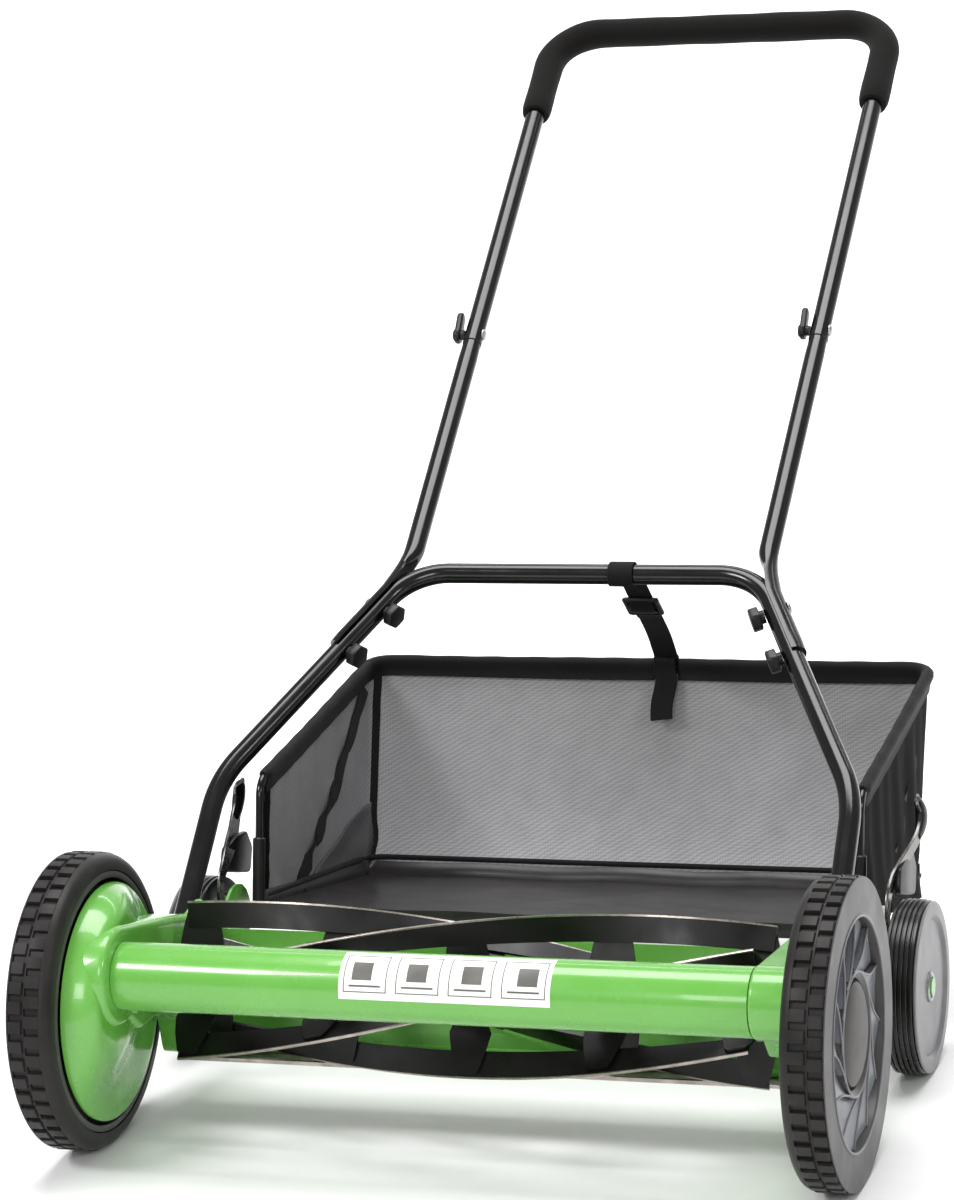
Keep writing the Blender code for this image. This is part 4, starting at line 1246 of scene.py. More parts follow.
@dataclass
class Reel:
    """The cutting reel: five helical blades with bright ground edges, on five spiders."""

    datum: Datum
    radius: float = 0.0714
    root_radius: float = 0.048
    thickness: float = 0.0025
    land: float = 0.0016
    end_x: float = 0.2545
    blades: int = 5
    twist: float = math.radians(214)
    phase: float = math.radians(104.1)
    stations: int = 110

    def build(self) -> None:
        """Make the reel."""
        for number in range(1, self.blades + 1):
            self.build_blade(number)
            self.build_spider(number)
        dress_node("reel_shaft", ZINC_STEEL, 0.0004)

    def helix(self, number: int, low: float, high: float, half: float, bevel: float) -> Form:
        """Return a twisted strip of one blade.

        Args:
            number: The blade.
            low: The strip's inner radius.
            high: Its outer radius.
            half: Half its thickness.
            bevel: How far the trailing corner of the outer edge is ground back.

        Returns:
            The mesh.
        """
        rings = []
        for step in range(self.stations + 1):
            x = -self.end_x + 2 * self.end_x * step / self.stations
            angle = self.phase + math.tau * (number - 1) / self.blades - self.twist * x
            outward = Vector((0, math.cos(angle), math.sin(angle)))
            around = Vector((0, -math.sin(angle), math.cos(angle)))
            middle = Vector((x, self.datum.reel.y, self.datum.reel.z))
            rings.append([middle + outward * r + around * a for r, a in
                          ((low, -half), (high - bevel, -half), (high, half * 0.2), (high, half), (low, half))])
        return skin(rings)

    def build_spider(self, number: int) -> None:
        """Spider of five twisted arms that lie along the blades at their tips.

        Args:
            number: The spider.
        """
        low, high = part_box(f"reel_spider_{number}")
        centre = (low.x + high.x) / 2
        half = self.thickness / 2
        forms = [turned(rounded([(centre - 0.006, 0.0066), (centre - 0.006, 0.0140), (centre + 0.006, 0.0140),
                                 (centre + 0.006, 0.0066)], 0.001), self.datum.reel, 32)]
        for arm in range(self.blades):
            rings = []
            for radius, reach in ((0.0080, 0.004), (0.0180, 0.010), (0.0260, 0.016), (0.0330, 0.019),
                                  (0.0480, 0.016), (0.0640, 0.011), (0.0672, 0.008)):
                shift = (half + 0.0012) if radius > 0.045 else 0.0
                ring = []
                for across, around in ((-reach, -half), (reach, -half), (reach, half), (-reach, half)):
                    x = centre + across
                    angle = self.phase + math.tau * arm / self.blades - self.twist * x
                    outward = Vector((0, math.cos(angle), math.sin(angle)))
                    sideways = Vector((0, -math.sin(angle), math.cos(angle)))
                    ring.append(Vector((x, self.datum.reel.y, self.datum.reel.z)) + outward * radius
                                + sideways * (around - shift - half * 0.4))
                rings.append(ring)
            forms.append(skin(rings))
        make_piece(f"twisted_spider_{number}", joined(forms), DIPPED_BLACK, "reel",
                   [f"reel_spider_{number}"])

    def build_blade(self, number: int) -> None:
        """Painted blade and its ground edge.

        Args:
            number: The blade.
        """
        half = self.thickness / 2
        edge_root = self.radius - self.land
        form = self.helix(number, self.root_radius, edge_root - 0.00005, half, 0.0)
        make_piece(f"helical_blade_{number}", form, DIPPED_BLACK, "reel", [f"reel_blade_{number}"])
        edge = self.helix(number, edge_root, self.radius, half, 0.0006)
        make_piece(f"ground_edge_{number}", edge, GROUND_STEEL, "reel")


@dataclass
class RearCorner:
    """One rear wheel with its arm and sprung height lever."""

    datum: Datum
    side: Side
    inner_x: float = 0.3175
    outer_x: float = 0.3475
    radius: float = 0.0762
    grooves: int = 5
    groove_depth: float = 0.0022
    lever_path: tuple[tuple[float, float, float], ...] = (
        (0.3108, 0.270, 0.106), (0.3108, 0.274, 0.148), (0.3118, 0.294, 0.168), (0.3180, 0.328, 0.180),
        (0.3235, 0.354, 0.193), (0.3240, 0.366, 0.208), (0.3215, 0.362, 0.222))
    lever_up: Vector = field(default_factory=lambda: Vector((0.0, 0.9, -0.44)))

    def build(self) -> None:
        """Make the corner."""
        self.build_tyre()
        self.build_wheel()
        self.build_lever()
        dress_node(f"rear_arm_{self.side.label}", GREEN_ENAMEL, 0.0004)

    def build_tyre(self) -> None:
        """Hard tyre with grooves that run round it."""
        width = self.outer_x - self.inner_x - 0.0035
        profile = [(self.inner_x, 0.0604), (self.inner_x, self.radius - 0.0035)]
        rib = width / (self.grooves + 1)
        for number in range(self.grooves + 1):
            low = self.inner_x + number * rib
            high = low + rib
            rise = self.radius - (0.0008 if number in (0, self.grooves) else 0.0)
            profile += [(low + rib * 0.16, rise - 0.0004), (low + rib * 0.28, rise), (high - rib * 0.28, rise),
                        (high - rib * 0.16, rise - 0.0004)]
            if number < self.grooves:
                profile += [(high - rib * 0.08, self.radius - self.groove_depth),
                            (high + rib * 0.08, self.radius - self.groove_depth)]
        profile += [(self.inner_x + width, self.radius - 0.003), (self.inner_x + width, 0.0604)]
        form = turned(profile, self.datum.rear, 96)
        side_piece(self.side, "ribbed_tyre", form, RIB_RUBBER, f"rear_wheel_{self.side.label}",
                   ["rear_tyre"])

    def build_wheel(self) -> None:
        """Pale wheel with a flat rim ring, a groove and a dished disc."""
        face = self.outer_x
        profile = rounded([
            (0.3185, 0.0068), (0.3185, 0.0160), (0.3300, 0.0180), (0.3300, 0.0540), (0.3195, 0.0550),
            (0.3195, 0.0598), (face - 0.0034, 0.0600), (face - 0.0034, 0.0735), (face - 0.0020, 0.0752),
            (face - 0.0006, 0.0740), (face - 0.0003, 0.0625), (face - 0.0020, 0.0612), (face - 0.0038, 0.0598),
            (face - 0.0030, 0.0580), (face - 0.0026, 0.0300), (face - 0.0036, 0.0150), (face - 0.0040, 0.0068)],
            0.0010, 3)
        form = turned(profile, self.datum.rear, 96)
        body = f"rear_wheel_{self.side.label}"
        side_piece(self.side, "dished_wheel", form, PALE_POLYPROPYLENE, body, ["rear_wheel"])
        washer = turned([(face - 0.0038, 0.0090), (face - 0.0014, 0.0094), (face - 0.0010, 0.0120),
                         (face - 0.0022, 0.0132), (face - 0.0042, 0.0132), (face - 0.0042, 0.0090)],
                        self.datum.rear, 48)
        side_piece(self.side, "hub_washer", washer, ZINC_STEEL, body)

    def build_lever(self) -> None:
        """Spring steel strap in an S, widening to its top, with a moulded pad and paddle."""
        path = flowing([self.datum.at(*point) for point in self.lever_path], 8)
        last = len(path) - 1
        halves = [0.0045 + 0.0040 * min(1.0, 2.2 * index / last) for index in range(last + 1)]
        form = swept(path, lambda index, side, up: strap_ring(up, side, halves[index], 0.0013, 0.0004), self.lever_up)
        body = f"lever_{self.side.label}"
        side_piece(self.side, "spring_strap", form, BLACK_SPRING, body, ["height_lever"])
        held = path[int(last * 0.66):]
        sizes = []
        for index in range(len(held)):
            share = 0.06 + 0.88 * index / (len(held) - 1)
            sizes.append(max(0.35, math.sin(math.pi * share) ** 0.4))
        form = swept(held, lambda index, side, up: oval(up, side, 0.0100 * sizes[index], 0.0052 * sizes[index], 20),
                     self.lever_up)
        side_piece(self.side, "lever_pad_upper", form, BLACK_NYLON, body)
        outline = rounded([(0.291, 0.156), (0.300, 0.176), (0.330, 0.180), (0.353, 0.178), (0.364, 0.160),
                           (0.355, 0.137), (0.326, 0.145)], 0.007, 4)
        paddle = plate(self.datum.flat(outline), 0.3128, 0.3186, 0.0016)
        side_piece(self.side, "lever_paddle", paddle, BLACK_NYLON, body)


@dataclass
class Handle:
    """Black tube handle: lower U, two struts, upper U, foam sleeve and its knobs."""

    datum: Datum
    tube_radius: float = 0.0095
    foot: tuple[float, float, float] = (0.2935, 0.117, 0.132)
    low_bend: tuple[float, float, float] = (0.2914, 0.2417, 0.2575)
    corner: tuple[float, float, float] = (0.166, 0.446, 0.4051)
    strut_bend: tuple[float, float, float] = (0.170, 0.446, 0.4051)
    top: tuple[float, float, float] = (0.1786, 1.0469, 0.8544)
    bend_radii: tuple[float, float] = (0.12, 0.060)
    top_radius: float = 0.050
    joint_share: float = 0.394
    overlap: float = 0.107
    crescent: float = 0.0130
    grip_radius: float = 0.015
    grip_leg: float = 0.073
    clamp_levels: dict[str, float] = field(default_factory=lambda: {"upper": 0.050, "lower": 0.105})
    body: str = "handle"

    def __post_init__(self) -> None:
        """Work out the directions that the knobs and struts share."""
        self.leg_foot = self.datum.at(*self.foot)
        self.leg_bend = self.datum.at(*self.low_bend)
        self.leg_corner = self.datum.at(*self.corner)
        self.bend = self.datum.at(*self.strut_bend)
        self.top_corner = self.datum.at(*self.top)
        self.joint = self.bend.lerp(self.top_corner, self.joint_share)
        self.down = (self.leg_bend - self.leg_corner).normalized()
        self.upward = (self.top_corner - self.bend).normalized()
        self.normal = Vector((0, -self.upward.z, self.upward.y)).normalized()
        outboard = self.normal.cross(self.down).normalized()
        self.outboard = outboard * math.copysign(1.0, outboard.x)

    def build(self) -> None:
        """Make the handle."""
        self.build_lower()
        self.build_upper()
        for side in Side:
            self.build_strut(side)
            self.build_wing_knob(side)
            for level, distance in self.clamp_levels.items():
                self.build_clamp_knob(side, level, distance)

    def build_lower(self) -> None:
        """Lower U in one bent tube."""
        arm = [self.leg_foot, self.leg_bend, self.leg_corner]
        radii = (*self.bend_radii, *reversed(self.bend_radii))
        path = sampled(bent(arm + mirrored(arm), radii, 14), 0.02)
        make_piece("lower_handle_tube", tube(path, self.tube_radius, 32), BLACK_POWDER, self.body,
                   ["lower_handle"])

    def build_upper(self) -> None:
        """Upper U, from the strut joints to the top, and its foam sleeve."""
        start = self.joint + self.upward * 0.0006
        path = bent([start, self.top_corner, *mirrored([start, self.top_corner])], (self.top_radius,) * 2, 16)
        make_piece("upper_handle_tube", tube(sampled(path, 0.02), self.tube_radius, 32, 0.0008), BLACK_POWDER,
                   self.body, ["upper_handle"])
        low = self.top_corner - self.upward * (self.grip_leg + self.top_radius)
        path = bent([low, self.top_corner, *mirrored([low, self.top_corner])], (self.top_radius,) * 2, 16)
        path = sampled(path, 0.006)
        sizes = [self.grip_radius + 0.00022 * math.sin(index * 0.53) + 0.00016 * math.sin(index * 0.171 + 1.0)
                 for index in range(len(path))]
        for index, tuck in ((0, 0.10), (1, 0.015), (-2, 0.015), (-1, 0.10)):
            sizes[index] -= self.grip_radius * tuck
        form = swept(path, lambda index, side, up: oval(side, up, sizes[index], sizes[index], 40))
        sleeve = make_piece("foam_sleeve", form, NITRILE_FOAM, self.body, ["foam_grip"])

    def build_strut(self, side: Side) -> None:
        """Strut: a half-round channel on the leg that closes into a tube above the bend.

        Args:
            side: The side of the machine.
        """
        low = self.leg_corner + self.down * self.overlap
        knee = self.leg_corner + self.down * 0.030
        rise = self.bend + self.upward * 0.030
        path = sampled([low, knee], 0.010)
        for step in range(1, 16):
            share = step / 16
            path.append(knee * (1 - share) ** 2 + self.bend * 2 * share * (1 - share) + rise * share ** 2)
        path += sampled([rise, self.joint], 0.02)
        start = len(sampled([low, knee], 0.010)) - 1
        last = len(path) - 1
        rings = []
        for index, point in enumerate(path):
            share = min(1.0, max(0.0, (index - start) / 16))
            roundness = share * share * (3 - 2 * share)
            outward = self.outboard.lerp(ACROSS, roundness).normalized()
            size = 1.0 if 0 < index < last else 0.94
            rings.append(self.strut_ring(point, outward, roundness, size))
        side_piece(side, "crimped_strut", skin(rings), BLACK_POWDER, self.body, ["handle_strut"], 60.0)

    def strut_ring(self, centre: Vector, outward: Vector, roundness: float, size: float) -> list[Vector]:
        """Work out a strut section between a crescent (0) and a full round (1).

        Args:
            centre: The point on the strut's line.
            outward: The direction outboard.
            roundness: Where it lies between the two shapes.
            size: Its scale.

        Returns:
            The ring of points.
        """
        half = 16
        full = self.tube_radius
        outer = self.crescent + (full - self.crescent) * roundness
        inner = (full + 0.0005) + (-full - full - 0.0005) * roundness
        height = (full + 0.0005) - 0.0005 * roundness
        ring = []
        for index in range(half + 1):
            angle = math.pi * (index / half - 0.5)
            ring.append(centre + size * outer * (outward * math.cos(angle) + self.normal * math.sin(angle)))
        for index in range(1, half):
            angle = math.pi * (0.5 - index / half)
            ring.append(centre + size * (outward * inner * math.cos(angle) + self.normal * height * math.sin(angle)))
        return ring

    def knob_form(self, outline: Profile, low: float, high: float, place: Vector, axis: Vector,
                  up: Vector, edge: float) -> Form:
        """Make a knob plate that lies across an axis.

        Args:
            outline: Its outline.
            low: Where it starts along the axis.
            high: Where it ends.
            place: The point that the axis passes.
            axis: The direction of the knob's bolt.
            up: The direction of the outline's first coordinate.
            edge: The width of its eased edges.

        Returns:
            The mesh.
        """
        form = plate(outline, low, high, edge)
        turn = Matrix((axis, up, up.cross(axis).normalized())).transposed().to_4x4()
        bmesh.ops.transform(form, matrix=Matrix.Translation(place) @ turn, verts=form.verts)
        return form

    def build_wing_knob(self, side: Side) -> None:
        """Wing knob at the strut joint; both stand on the left of their tubes.

        Args:
            side: The side of the machine.
        """
        place = self.joint + self.upward * 0.014
        place.x *= side.value
        axis = Vector((-1, 0, 0))
        clear = self.tube_radius + 0.0005
        wing = [*arc((0.0, 0.0), 0.0085, 75, 260, 10), *arc((0.0165, 0.0050), 0.0070, -75, 95, 8)]
        forms = [self.knob_form(wing, clear + 0.0040, clear + 0.0092, place, axis, self.upward, 0.0014),
                 self.knob_form(arc((0.0, 0.0), 0.0050, 0, 345, 23), clear, clear + 0.0050, place, axis,
                                self.upward, 0.0),
                 self.knob_form(arc((0.0, 0.0), 0.0062, 0, 345, 23), clear + 0.0085, clear + 0.0110, place, axis,
                                self.upward, 0.0010)]
        make_piece(f"wing_nut_{side.label}", joined(forms), BLACK_NYLON, f"wing_knob_{side.label}",
                   [f"wing_knob_{side.label}"])
        head = dome(place - axis * (self.tube_radius - 0.0004), -axis, 0.0058, 0.0026)
        make_piece(f"joint_bolt_{side.label}", head, ZINC_STEEL, self.body)

    def build_clamp_knob(self, side: Side, level: str, distance: float) -> None:
        """Clamp knob inside the lower U, with its bolt head outboard.

        Args:
            side: The side of the machine.
            level: Its name on the leg.
            distance: How far down the leg it sits.
        """
        place = self.leg_corner + self.down * distance
        axis = -self.outboard
        clear = self.tube_radius
        lobes = rounded(arc((0, 0), 0.0118, 0, 300, 5), 0.0035, 4)
        forms = [self.knob_form(lobes, clear + 0.0045, clear + 0.0138, place, axis, self.down, 0.0013),
                 self.knob_form(arc((0.0, 0.0), 0.0062, 0, 345, 23), clear + 0.0005, clear + 0.0050, place, axis,
                                self.down, 0.0)]
        make_piece(f"clamp_nut_{side.label}_{level}", joined(forms), BLACK_NYLON,
                   f"clamp_knob_{side.label}_{level}", [f"clamp_knob_{side.label}_{level}"], side)
        if level == "upper":
            head = dome(place + self.outboard * (self.crescent - 0.0003), self.outboard, 0.0056, 0.0026)
            side_piece(side, "strut_bolt", head, ZINC_STEEL, self.body)


@dataclass
class Catcher:
    """Grass catcher: mesh walls sewn to a taped hem on a wire frame, over a sheet tray."""

    datum: Datum
    half_width: float = 0.2815
    front_low: tuple[float, float] = (0.298, 0.1215)
    back_low: tuple[float, float] = (0.574, 0.069)
    back_top: tuple[float, float] = (0.6385, 0.268)
    front_top: tuple[float, float] = (0.324, 0.2315)
    wire_radius: float = 0.0035
    wire_rise: float = 0.0065
    corner_radius: float = 0.022
    hem_height: float = 0.015
    cloth_mm: float = 0.8
    wall_height: float = 0.209
    wall_area: float = 0.185
    furthest_sag: float = 0.006
    strap_from: float = 0.0375
    strap_to: float = 0.0206
    strap_width: float = 0.024
    strap_thickness: float = 0.0016
    body: str = "catcher"
    walls: bpy.types.Object | None = None

    def build(self) -> None:
        """Make the catcher and what hangs it up."""
        self.build_wire()
        self.build_walls()
        self.build_hem()
        self.build_trim()
        self.build_tray()
        self.build_strap()

    @property
    def depth(self) -> float:
        """Return the length of a side along its top edge."""
        return math.dist(self.front_top, self.back_top)

    def wall_point(self, x: float, from_back: float, rise: float) -> Vector:
        """Return a point of the flat wall.

        Args:
            x: Its place across.
            from_back: Distance forward from the back wall, along the top edge.
            rise: 0 at the bottom edge and 1 at the top edge.

        Returns:
            The point.
        """
        share = from_back / self.depth
        low = Vector(self.back_low).lerp(Vector(self.front_low), share)
        high = Vector(self.back_top).lerp(Vector(self.front_top), share)
        spot = low.lerp(high, rise)
        return self.datum.at(x, spot.x, spot.y)

    def plan(self, step: float) -> Points:
        """Walk round the three walls, with rounded corners.

        Args:
            step: About how far apart the points lie.

        Returns:
            Points of (x, distance from the back).
        """
        radius = self.corner_radius
        corners = [Vector((-self.half_width, self.depth, 0)), Vector((-self.half_width, 0, 0)),
                   Vector((self.half_width, 0, 0)), Vector((self.half_width, self.depth, 0))]
        return [(point.x, point.y) for point in sampled(bent(corners, (radius, radius), 5), step)]

    def build_wire(self) -> None:
        """Wire frame with its two front hooks, and the sleeves on its uprights."""
        half = [self.datum.at(self.half_width, 0.2890, 0.1205),
                self.datum.at(self.half_width, 0.3150, self.front_top[1] + self.wire_rise),
                self.datum.at(self.half_width, self.back_top[0] + 0.001, self.back_top[1] + self.wire_rise)]
        path = sampled(bent(half + mirrored(half), (self.corner_radius,) * 4, 8), 0.02)
        make_piece("bent_wire_frame", tube(path, self.wire_radius, 16), BLACK_POWDER, self.body,
                   ["catcher_frame"])
        for side in Side:
            low = half[0].lerp(half[1], 0.06)
            high = half[0].lerp(half[1], 0.56)
            sleeve = tube(sampled([low, high], 0.01), 0.0058, 20, 0.0012)
            side_piece(side, "upright_sleeve", sleeve, BLACK_NYLON, self.body)

    def build_walls(self) -> None:
        """Three mesh walls from one strip, held all round and left to sag."""
        columns = self.plan(0.012)
        rows = 16
        form = bmesh.new()
        grid = []
        for x, from_back in columns:
            share = from_back / self.depth
            column = []
            for row in range(rows + 1):
                rise = row / rows
                point = self.wall_point(x, from_back, rise * 0.985)
                side_swell = 0.0045 * math.sin(math.pi * min(1.0, share)) * math.sin(math.pi * rise)
                across = max(0.0, 1.0 - (x / self.half_width) ** 2)
                back_swell = 0.010 * across ** 0.7 * math.sin(math.pi * rise ** 0.85)
                point.x += math.copysign(side_swell, x) if abs(x) > self.half_width - 0.002 else 0.0
                point.y += back_swell if share < 0.02 else 0.0
                column.append(form.verts.new(point))
            grid.append(column)
        for first, second in zip(grid, grid[1:]):
            for row in range(rows):
                form.faces.new((first[row], second[row], second[row + 1], first[row + 1]))
        # The mesh greys stand in for the pale backdrop seen through the weave: painted light.
        item = make_piece("mesh_walls", form, MESH_BACK_WITH_PAINTED_LIGHT, self.body, ["catcher_bag"])
        self.sag(item, columns, rows)
        self.walls = item
        # Each side wall's first faces take the black oxford as painted shade, and its solidified faces take the grey
        # side mesh as painted light; the back wall is grey mesh on both faces.
        for finish in (OXFORD_BINDING_AND_SIDE_SHADE, MESH_BACK_WITH_PAINTED_LIGHT, MESH_SIDE_WITH_PAINTED_LIGHT):
            item.data.materials.append(finish.material())
        for face in item.data.polygons:
            face.use_smooth = True
            face.material_index = 1 if abs(face.center.x) > self.half_width - self.corner_radius * 0.3 else 0
        smooth = item.modifiers.new("Finer", "SUBSURF")
        smooth.levels = smooth.render_levels = 1
        thick = item.modifiers.new("Cloth thickness", "SOLIDIFY")
        thick.thickness = self.cloth_mm / 1000
        thick.material_offset = 2

    def sag(self, item: bpy.types.Object, columns: Points, rows: int) -> None:
        """Let the walls sag as cloth that is held at its edges.

        Args:
            item: The walls.
            columns: The plan that they were made from.
            rows: How many faces high they are.
        """
        held = item.vertex_groups.new(name="held")
        last = len(columns) - 1
        for index in range(len(item.data.vertices)):
            column, row = divmod(index, rows + 1)
            if column in (0, last) or row in (0, rows):
                held.add([index], 1.0, "REPLACE")
        rest = [vertex.co.copy() for vertex in item.data.vertices]
        cloth = item.modifiers.new("Cloth", "CLOTH")
        cloth.settings.quality = 6
        cloth.settings.mass = 0.15
        cloth.settings.tension_stiffness = 25
        cloth.settings.compression_stiffness = 8
        cloth.settings.bending_stiffness = 0.08
        cloth.settings.shrink_min = -0.006
        cloth.settings.vertex_group_mass = "held"
        scene = bpy.context.scene
        for number in range(1, 26):
            scene.frame_set(number)
        graph = bpy.context.evaluated_depsgraph_get()
        fallen = item.evaluated_get(graph).to_mesh()
        moved = [vertex.co.copy() for vertex in fallen.vertices]
        item.evaluated_get(graph).to_mesh_clear()
        item.modifiers.remove(cloth)
        for vertex, start, end in zip(item.data.vertices, rest, moved):
            shift = end - start
            vertex.co = start + shift * min(1.0, self.furthest_sag / max(shift.length, 1e-9))
        scene.frame_set(1)
        item.vertex_groups.clear()

    def build_hem(self) -> None:
        """Taped hem that wraps the wire, in two lengths that meet at the strap."""
        plan = self.plan(0.006)
        gaps = [index for index, (x, from_back) in enumerate(plan)
                if from_back < 1e-6 and abs(x - self.strap_to) < 0.017]
        for name, run in (("left", plan[:gaps[0] + 1]), ("right", plan[gaps[-1]:])):
            make_piece(f"taped_hem_{name}", self.hem_form(run), OXFORD_BACK, self.body)

    def hem_form(self, run: Sequence[tuple[float, float]]) -> Form:
        """Make the hem along a stretch of the walls' top edge.

        Args:
            run: Points of the walls' plan.

        Returns:
            The mesh.
        """
        line = [self.wall_point(x, from_back, 1.0) for x, from_back in run]
        last = len(line) - 1
        rings = []
        for index, (point, tangent) in enumerate(zip(line, directions(line))):
            x, from_back = run[index]
            foot = self.wall_point(x, from_back, 0.8)
            down = (foot - point).normalized()
            down = (down - tangent * down.dot(tangent)).normalized()
            out = tangent.cross(down).normalized()
            ripple = 0.0002 * math.sin(index * 0.9) + 0.0003 * math.sin(index * 0.13 + 2.0)
            centre = point + Vector((0, 0, self.wire_rise))
            roll = 0.0056 + ripple
            pinch = 0.6 if index in (0, last) else 1.0
            section = [(roll * math.cos(math.radians(a)), roll * math.sin(math.radians(a)))
                       for a in range(-35, 216, 25)]
            drop = self.hem_height + 0.0007 * math.sin(index * 0.09)
            flap = [(-0.0030, -0.0080), (-0.0024, -drop * 0.65), (-0.0022 - ripple, -drop), (0.0, -drop - 0.0006),
                    (0.0022 - ripple, -drop), (0.0024, -drop * 0.65), (0.0030, -0.0080)]
            rings.append([centre - down * up + out * across * pinch for across, up in section + flap])
        return skin(rings)

    def on_wall(self, side: Side, from_back: float, rise: float, inward: float) -> Vector:
        """Find the place on a sagged side wall that is nearest to a point of the flat one.

        Args:
            side: The side of the machine.
            from_back: Distance forward from the back wall, along the top edge.
            rise: 0 at the bottom edge and 1 at the top edge.
            inward: How far inside the wall the place lies.

        Returns:
            The point.
        """
        flat = self.wall_point(self.half_width, from_back, rise)
        flat.x *= side.value
        _, place, _, _ = self.walls.closest_point_on_mesh(flat)
        centre = self.wall_point(0.0, self.depth * 0.6, 0.5)
        toward = centre - place
        toward.z = 0.0
        return place + toward.normalized() * inward

    def build_trim(self) -> None:
        """Corner seams, slanted webbing, lower gussets and piping, and the bound front edges."""
        steps = 20
        for side in Side:
            seam = [self.on_wall(side, 0.0015, 0.04 + 0.92 * k / steps, 0.0015) for k in range(steps + 1)]
            make_piece(f"corner_seam_{side.label}", band(seam, 0.009, 0.0016, Vector((side.value, -1, 0))),
                       OXFORD_BACK, self.body)
            brace = [self.on_wall(side, self.depth * (0.10 + 0.60 * k / steps), 0.95 - 0.95 * k / steps, 0.0020)
                     for k in range(steps + 1)]
            make_piece(f"slanted_webbing_{side.label}", band(brace, 0.019, 0.0016, Vector((0, 1, 0.45))), WEBBING,
                       self.body)
            self.build_gusset(side)
            edge = [self.on_wall(side, self.depth * 0.975, 0.02 + 0.94 * k / steps, 0.0) for k in range(steps + 1)]
            make_piece(f"front_binding_{side.label}", band(edge, 0.016, 0.0032, Vector((0, 1, 0.2))), OXFORD_BINDING_AND_SIDE_SHADE,
                       self.body)
        piping = []
        for x, from_back in self.plan(0.012):
            spot = self.wall_point(x, from_back, 0.10)
            centre = self.wall_point(0.0, self.depth * 0.6, 0.10)
            piping.append(spot + (centre - spot).normalized() * 0.004)
        make_piece("lower_piping", tube(piping, 0.0028, 12), OXFORD_BACK, self.body)

    def build_gusset(self, side: Side) -> None:
        """Doubled cloth in the lower back corner, behind the slanted webbing.

        Args:
            side: The side of the machine.
        """
        steps = 12
        rows = []
        for k in range(steps + 1):
            rise = 0.02 + 0.34 * k / steps
            reach = 0.06 + 0.56 * (1 - k / steps) ** 0.8
            rows.append([self.on_wall(side, self.depth * reach * j / 8, rise, 0.0011) for j in range(9)])
        item = make_piece(f"corner_gusset_{side.label}", open_sheet(rows), MESH_DOUBLED, self.body)
        thick = item.modifiers.new("Cloth thickness", "SOLIDIFY")
        thick.thickness = 0.0006

    def build_tray(self) -> None:
        """Floor of sheet plastic with upturned lips, a little wavy."""
        reach = self.half_width - self.wire_radius - 0.0015
        front = Vector((self.front_low[0] - 0.004, self.front_low[1] + 0.0035))
        back = Vector((self.back_low[0] - 0.0085, self.back_low[1] + 0.0045))
        lip = 0.014
        across = 48
        along = 24
        turn_up = {-1: Vector((-0.003, -0.012)), along + 1: Vector((0.0045, lip))}
        rows = []
        for row in range(-1, along + 2):
            share = min(1.0, max(0.0, row / along))
            spot = front.lerp(back, share) + turn_up.get(row, Vector((0, 0)))
            line = []
            for column in range(-1, across + 2):
                part = min(1.0, max(0.0, column / across))
                wave = 0.0012 * math.sin(part * 23) * math.cos(share * 9) * math.sin(math.pi * part)
                wave += 0.0014 * math.sin(part * 11 + 1.0) * (1 - share) ** 2
                if column in (-1, across + 1):
                    wave = lip
                line.append(self.datum.at(-reach + 2 * reach * part, spot.x, spot.y + wave))
            rows.append(line)
        item = make_piece("sheet_tray", open_sheet(rows), TRAY_SHEET, self.body, ["catcher_tray"])
        thick = item.modifiers.new("Sheet thickness", "SOLIDIFY")
        thick.thickness = 0.0018
        thick.offset = 0.0

    def build_strap(self) -> None:
        """Hanging strap, its buckle, and the end that wraps the hem."""
        bar = Vector(Handle.corner[1:])
        hem = Vector((self.back_top[0] + 0.001, self.back_top[1] + 0.018))
        slope = math.degrees(math.atan2(hem.y - bar.y, hem.x - bar.x))
        loop = arc(tuple(bar), 0.0112, slope - 90, slope - 285, 20)
        over_bar = [self.datum.at(self.strap_from, y, z) for y, z in loop]
        first = Vector(loop[-1])
        last = Vector((self.back_top[0] + 0.0005, self.back_top[1] + 0.0095))
        hanging = []
        for share in (0.12, 0.30, 0.50, 0.75, 1.0):
            x = self.strap_from + (self.strap_to - self.strap_from) * share + 0.004 * math.sin(math.pi * share)
            spot = first.lerp(last, share)
            hanging.append(self.datum.at(x, spot.x, spot.y - 0.004 * math.sin(math.pi * share * 1.6)))
        line = over_bar + flowing(hanging, 8)
        strap = band(line, self.strap_width, self.strap_thickness, ACROSS)
        make_piece("hanging_strap", strap, WEBBING, "strap", ["bag_strap"])
        self.build_buckle(line[len(loop) + 10], line[len(loop) + 18])
        self.build_tail()

    def build_buckle(self, start: Vector, end: Vector) -> None:
        """Ladder buckle: a frame with two bars, and the strap's folded end through it.

        Args:
            start: The buckle's place on the strap.
            end: A point further down the strap.
        """
        along = (end - start).normalized()
        lift = ACROSS.cross(along).normalized()
        lift *= -math.copysign(1.0, lift.z)
        middle = start + lift * 0.0030
        half_width, half_length = 0.0152, 0.017
        forms = []
        for shift in (-half_width, half_width):
            rail = [middle + ACROSS * shift + along * t for t in (-half_length, 0.0, half_length)]
            forms.append(tube(rail, 0.0026, 12, 0.0008))
        for t in (-half_length, 0.0, half_length):
            bar = [middle + ACROSS * shift + along * t for shift in (-half_width, 0.0, half_width)]
            forms.append(tube(bar, 0.0024, 12, 0.0006))
        make_piece("ladder_buckle", joined(forms), BLACK_NYLON, "strap", ["strap_buckle"])
        fold = flowing([middle - along * 0.014 + lift * 0.001, middle + lift * 0.0048,
                        middle + along * 0.014 + lift * 0.001, middle + along * 0.032 - lift * 0.001], 6)
        make_piece("strap_fold", band(fold, 0.0235, 0.0020, ACROSS), WEBBING, "strap")

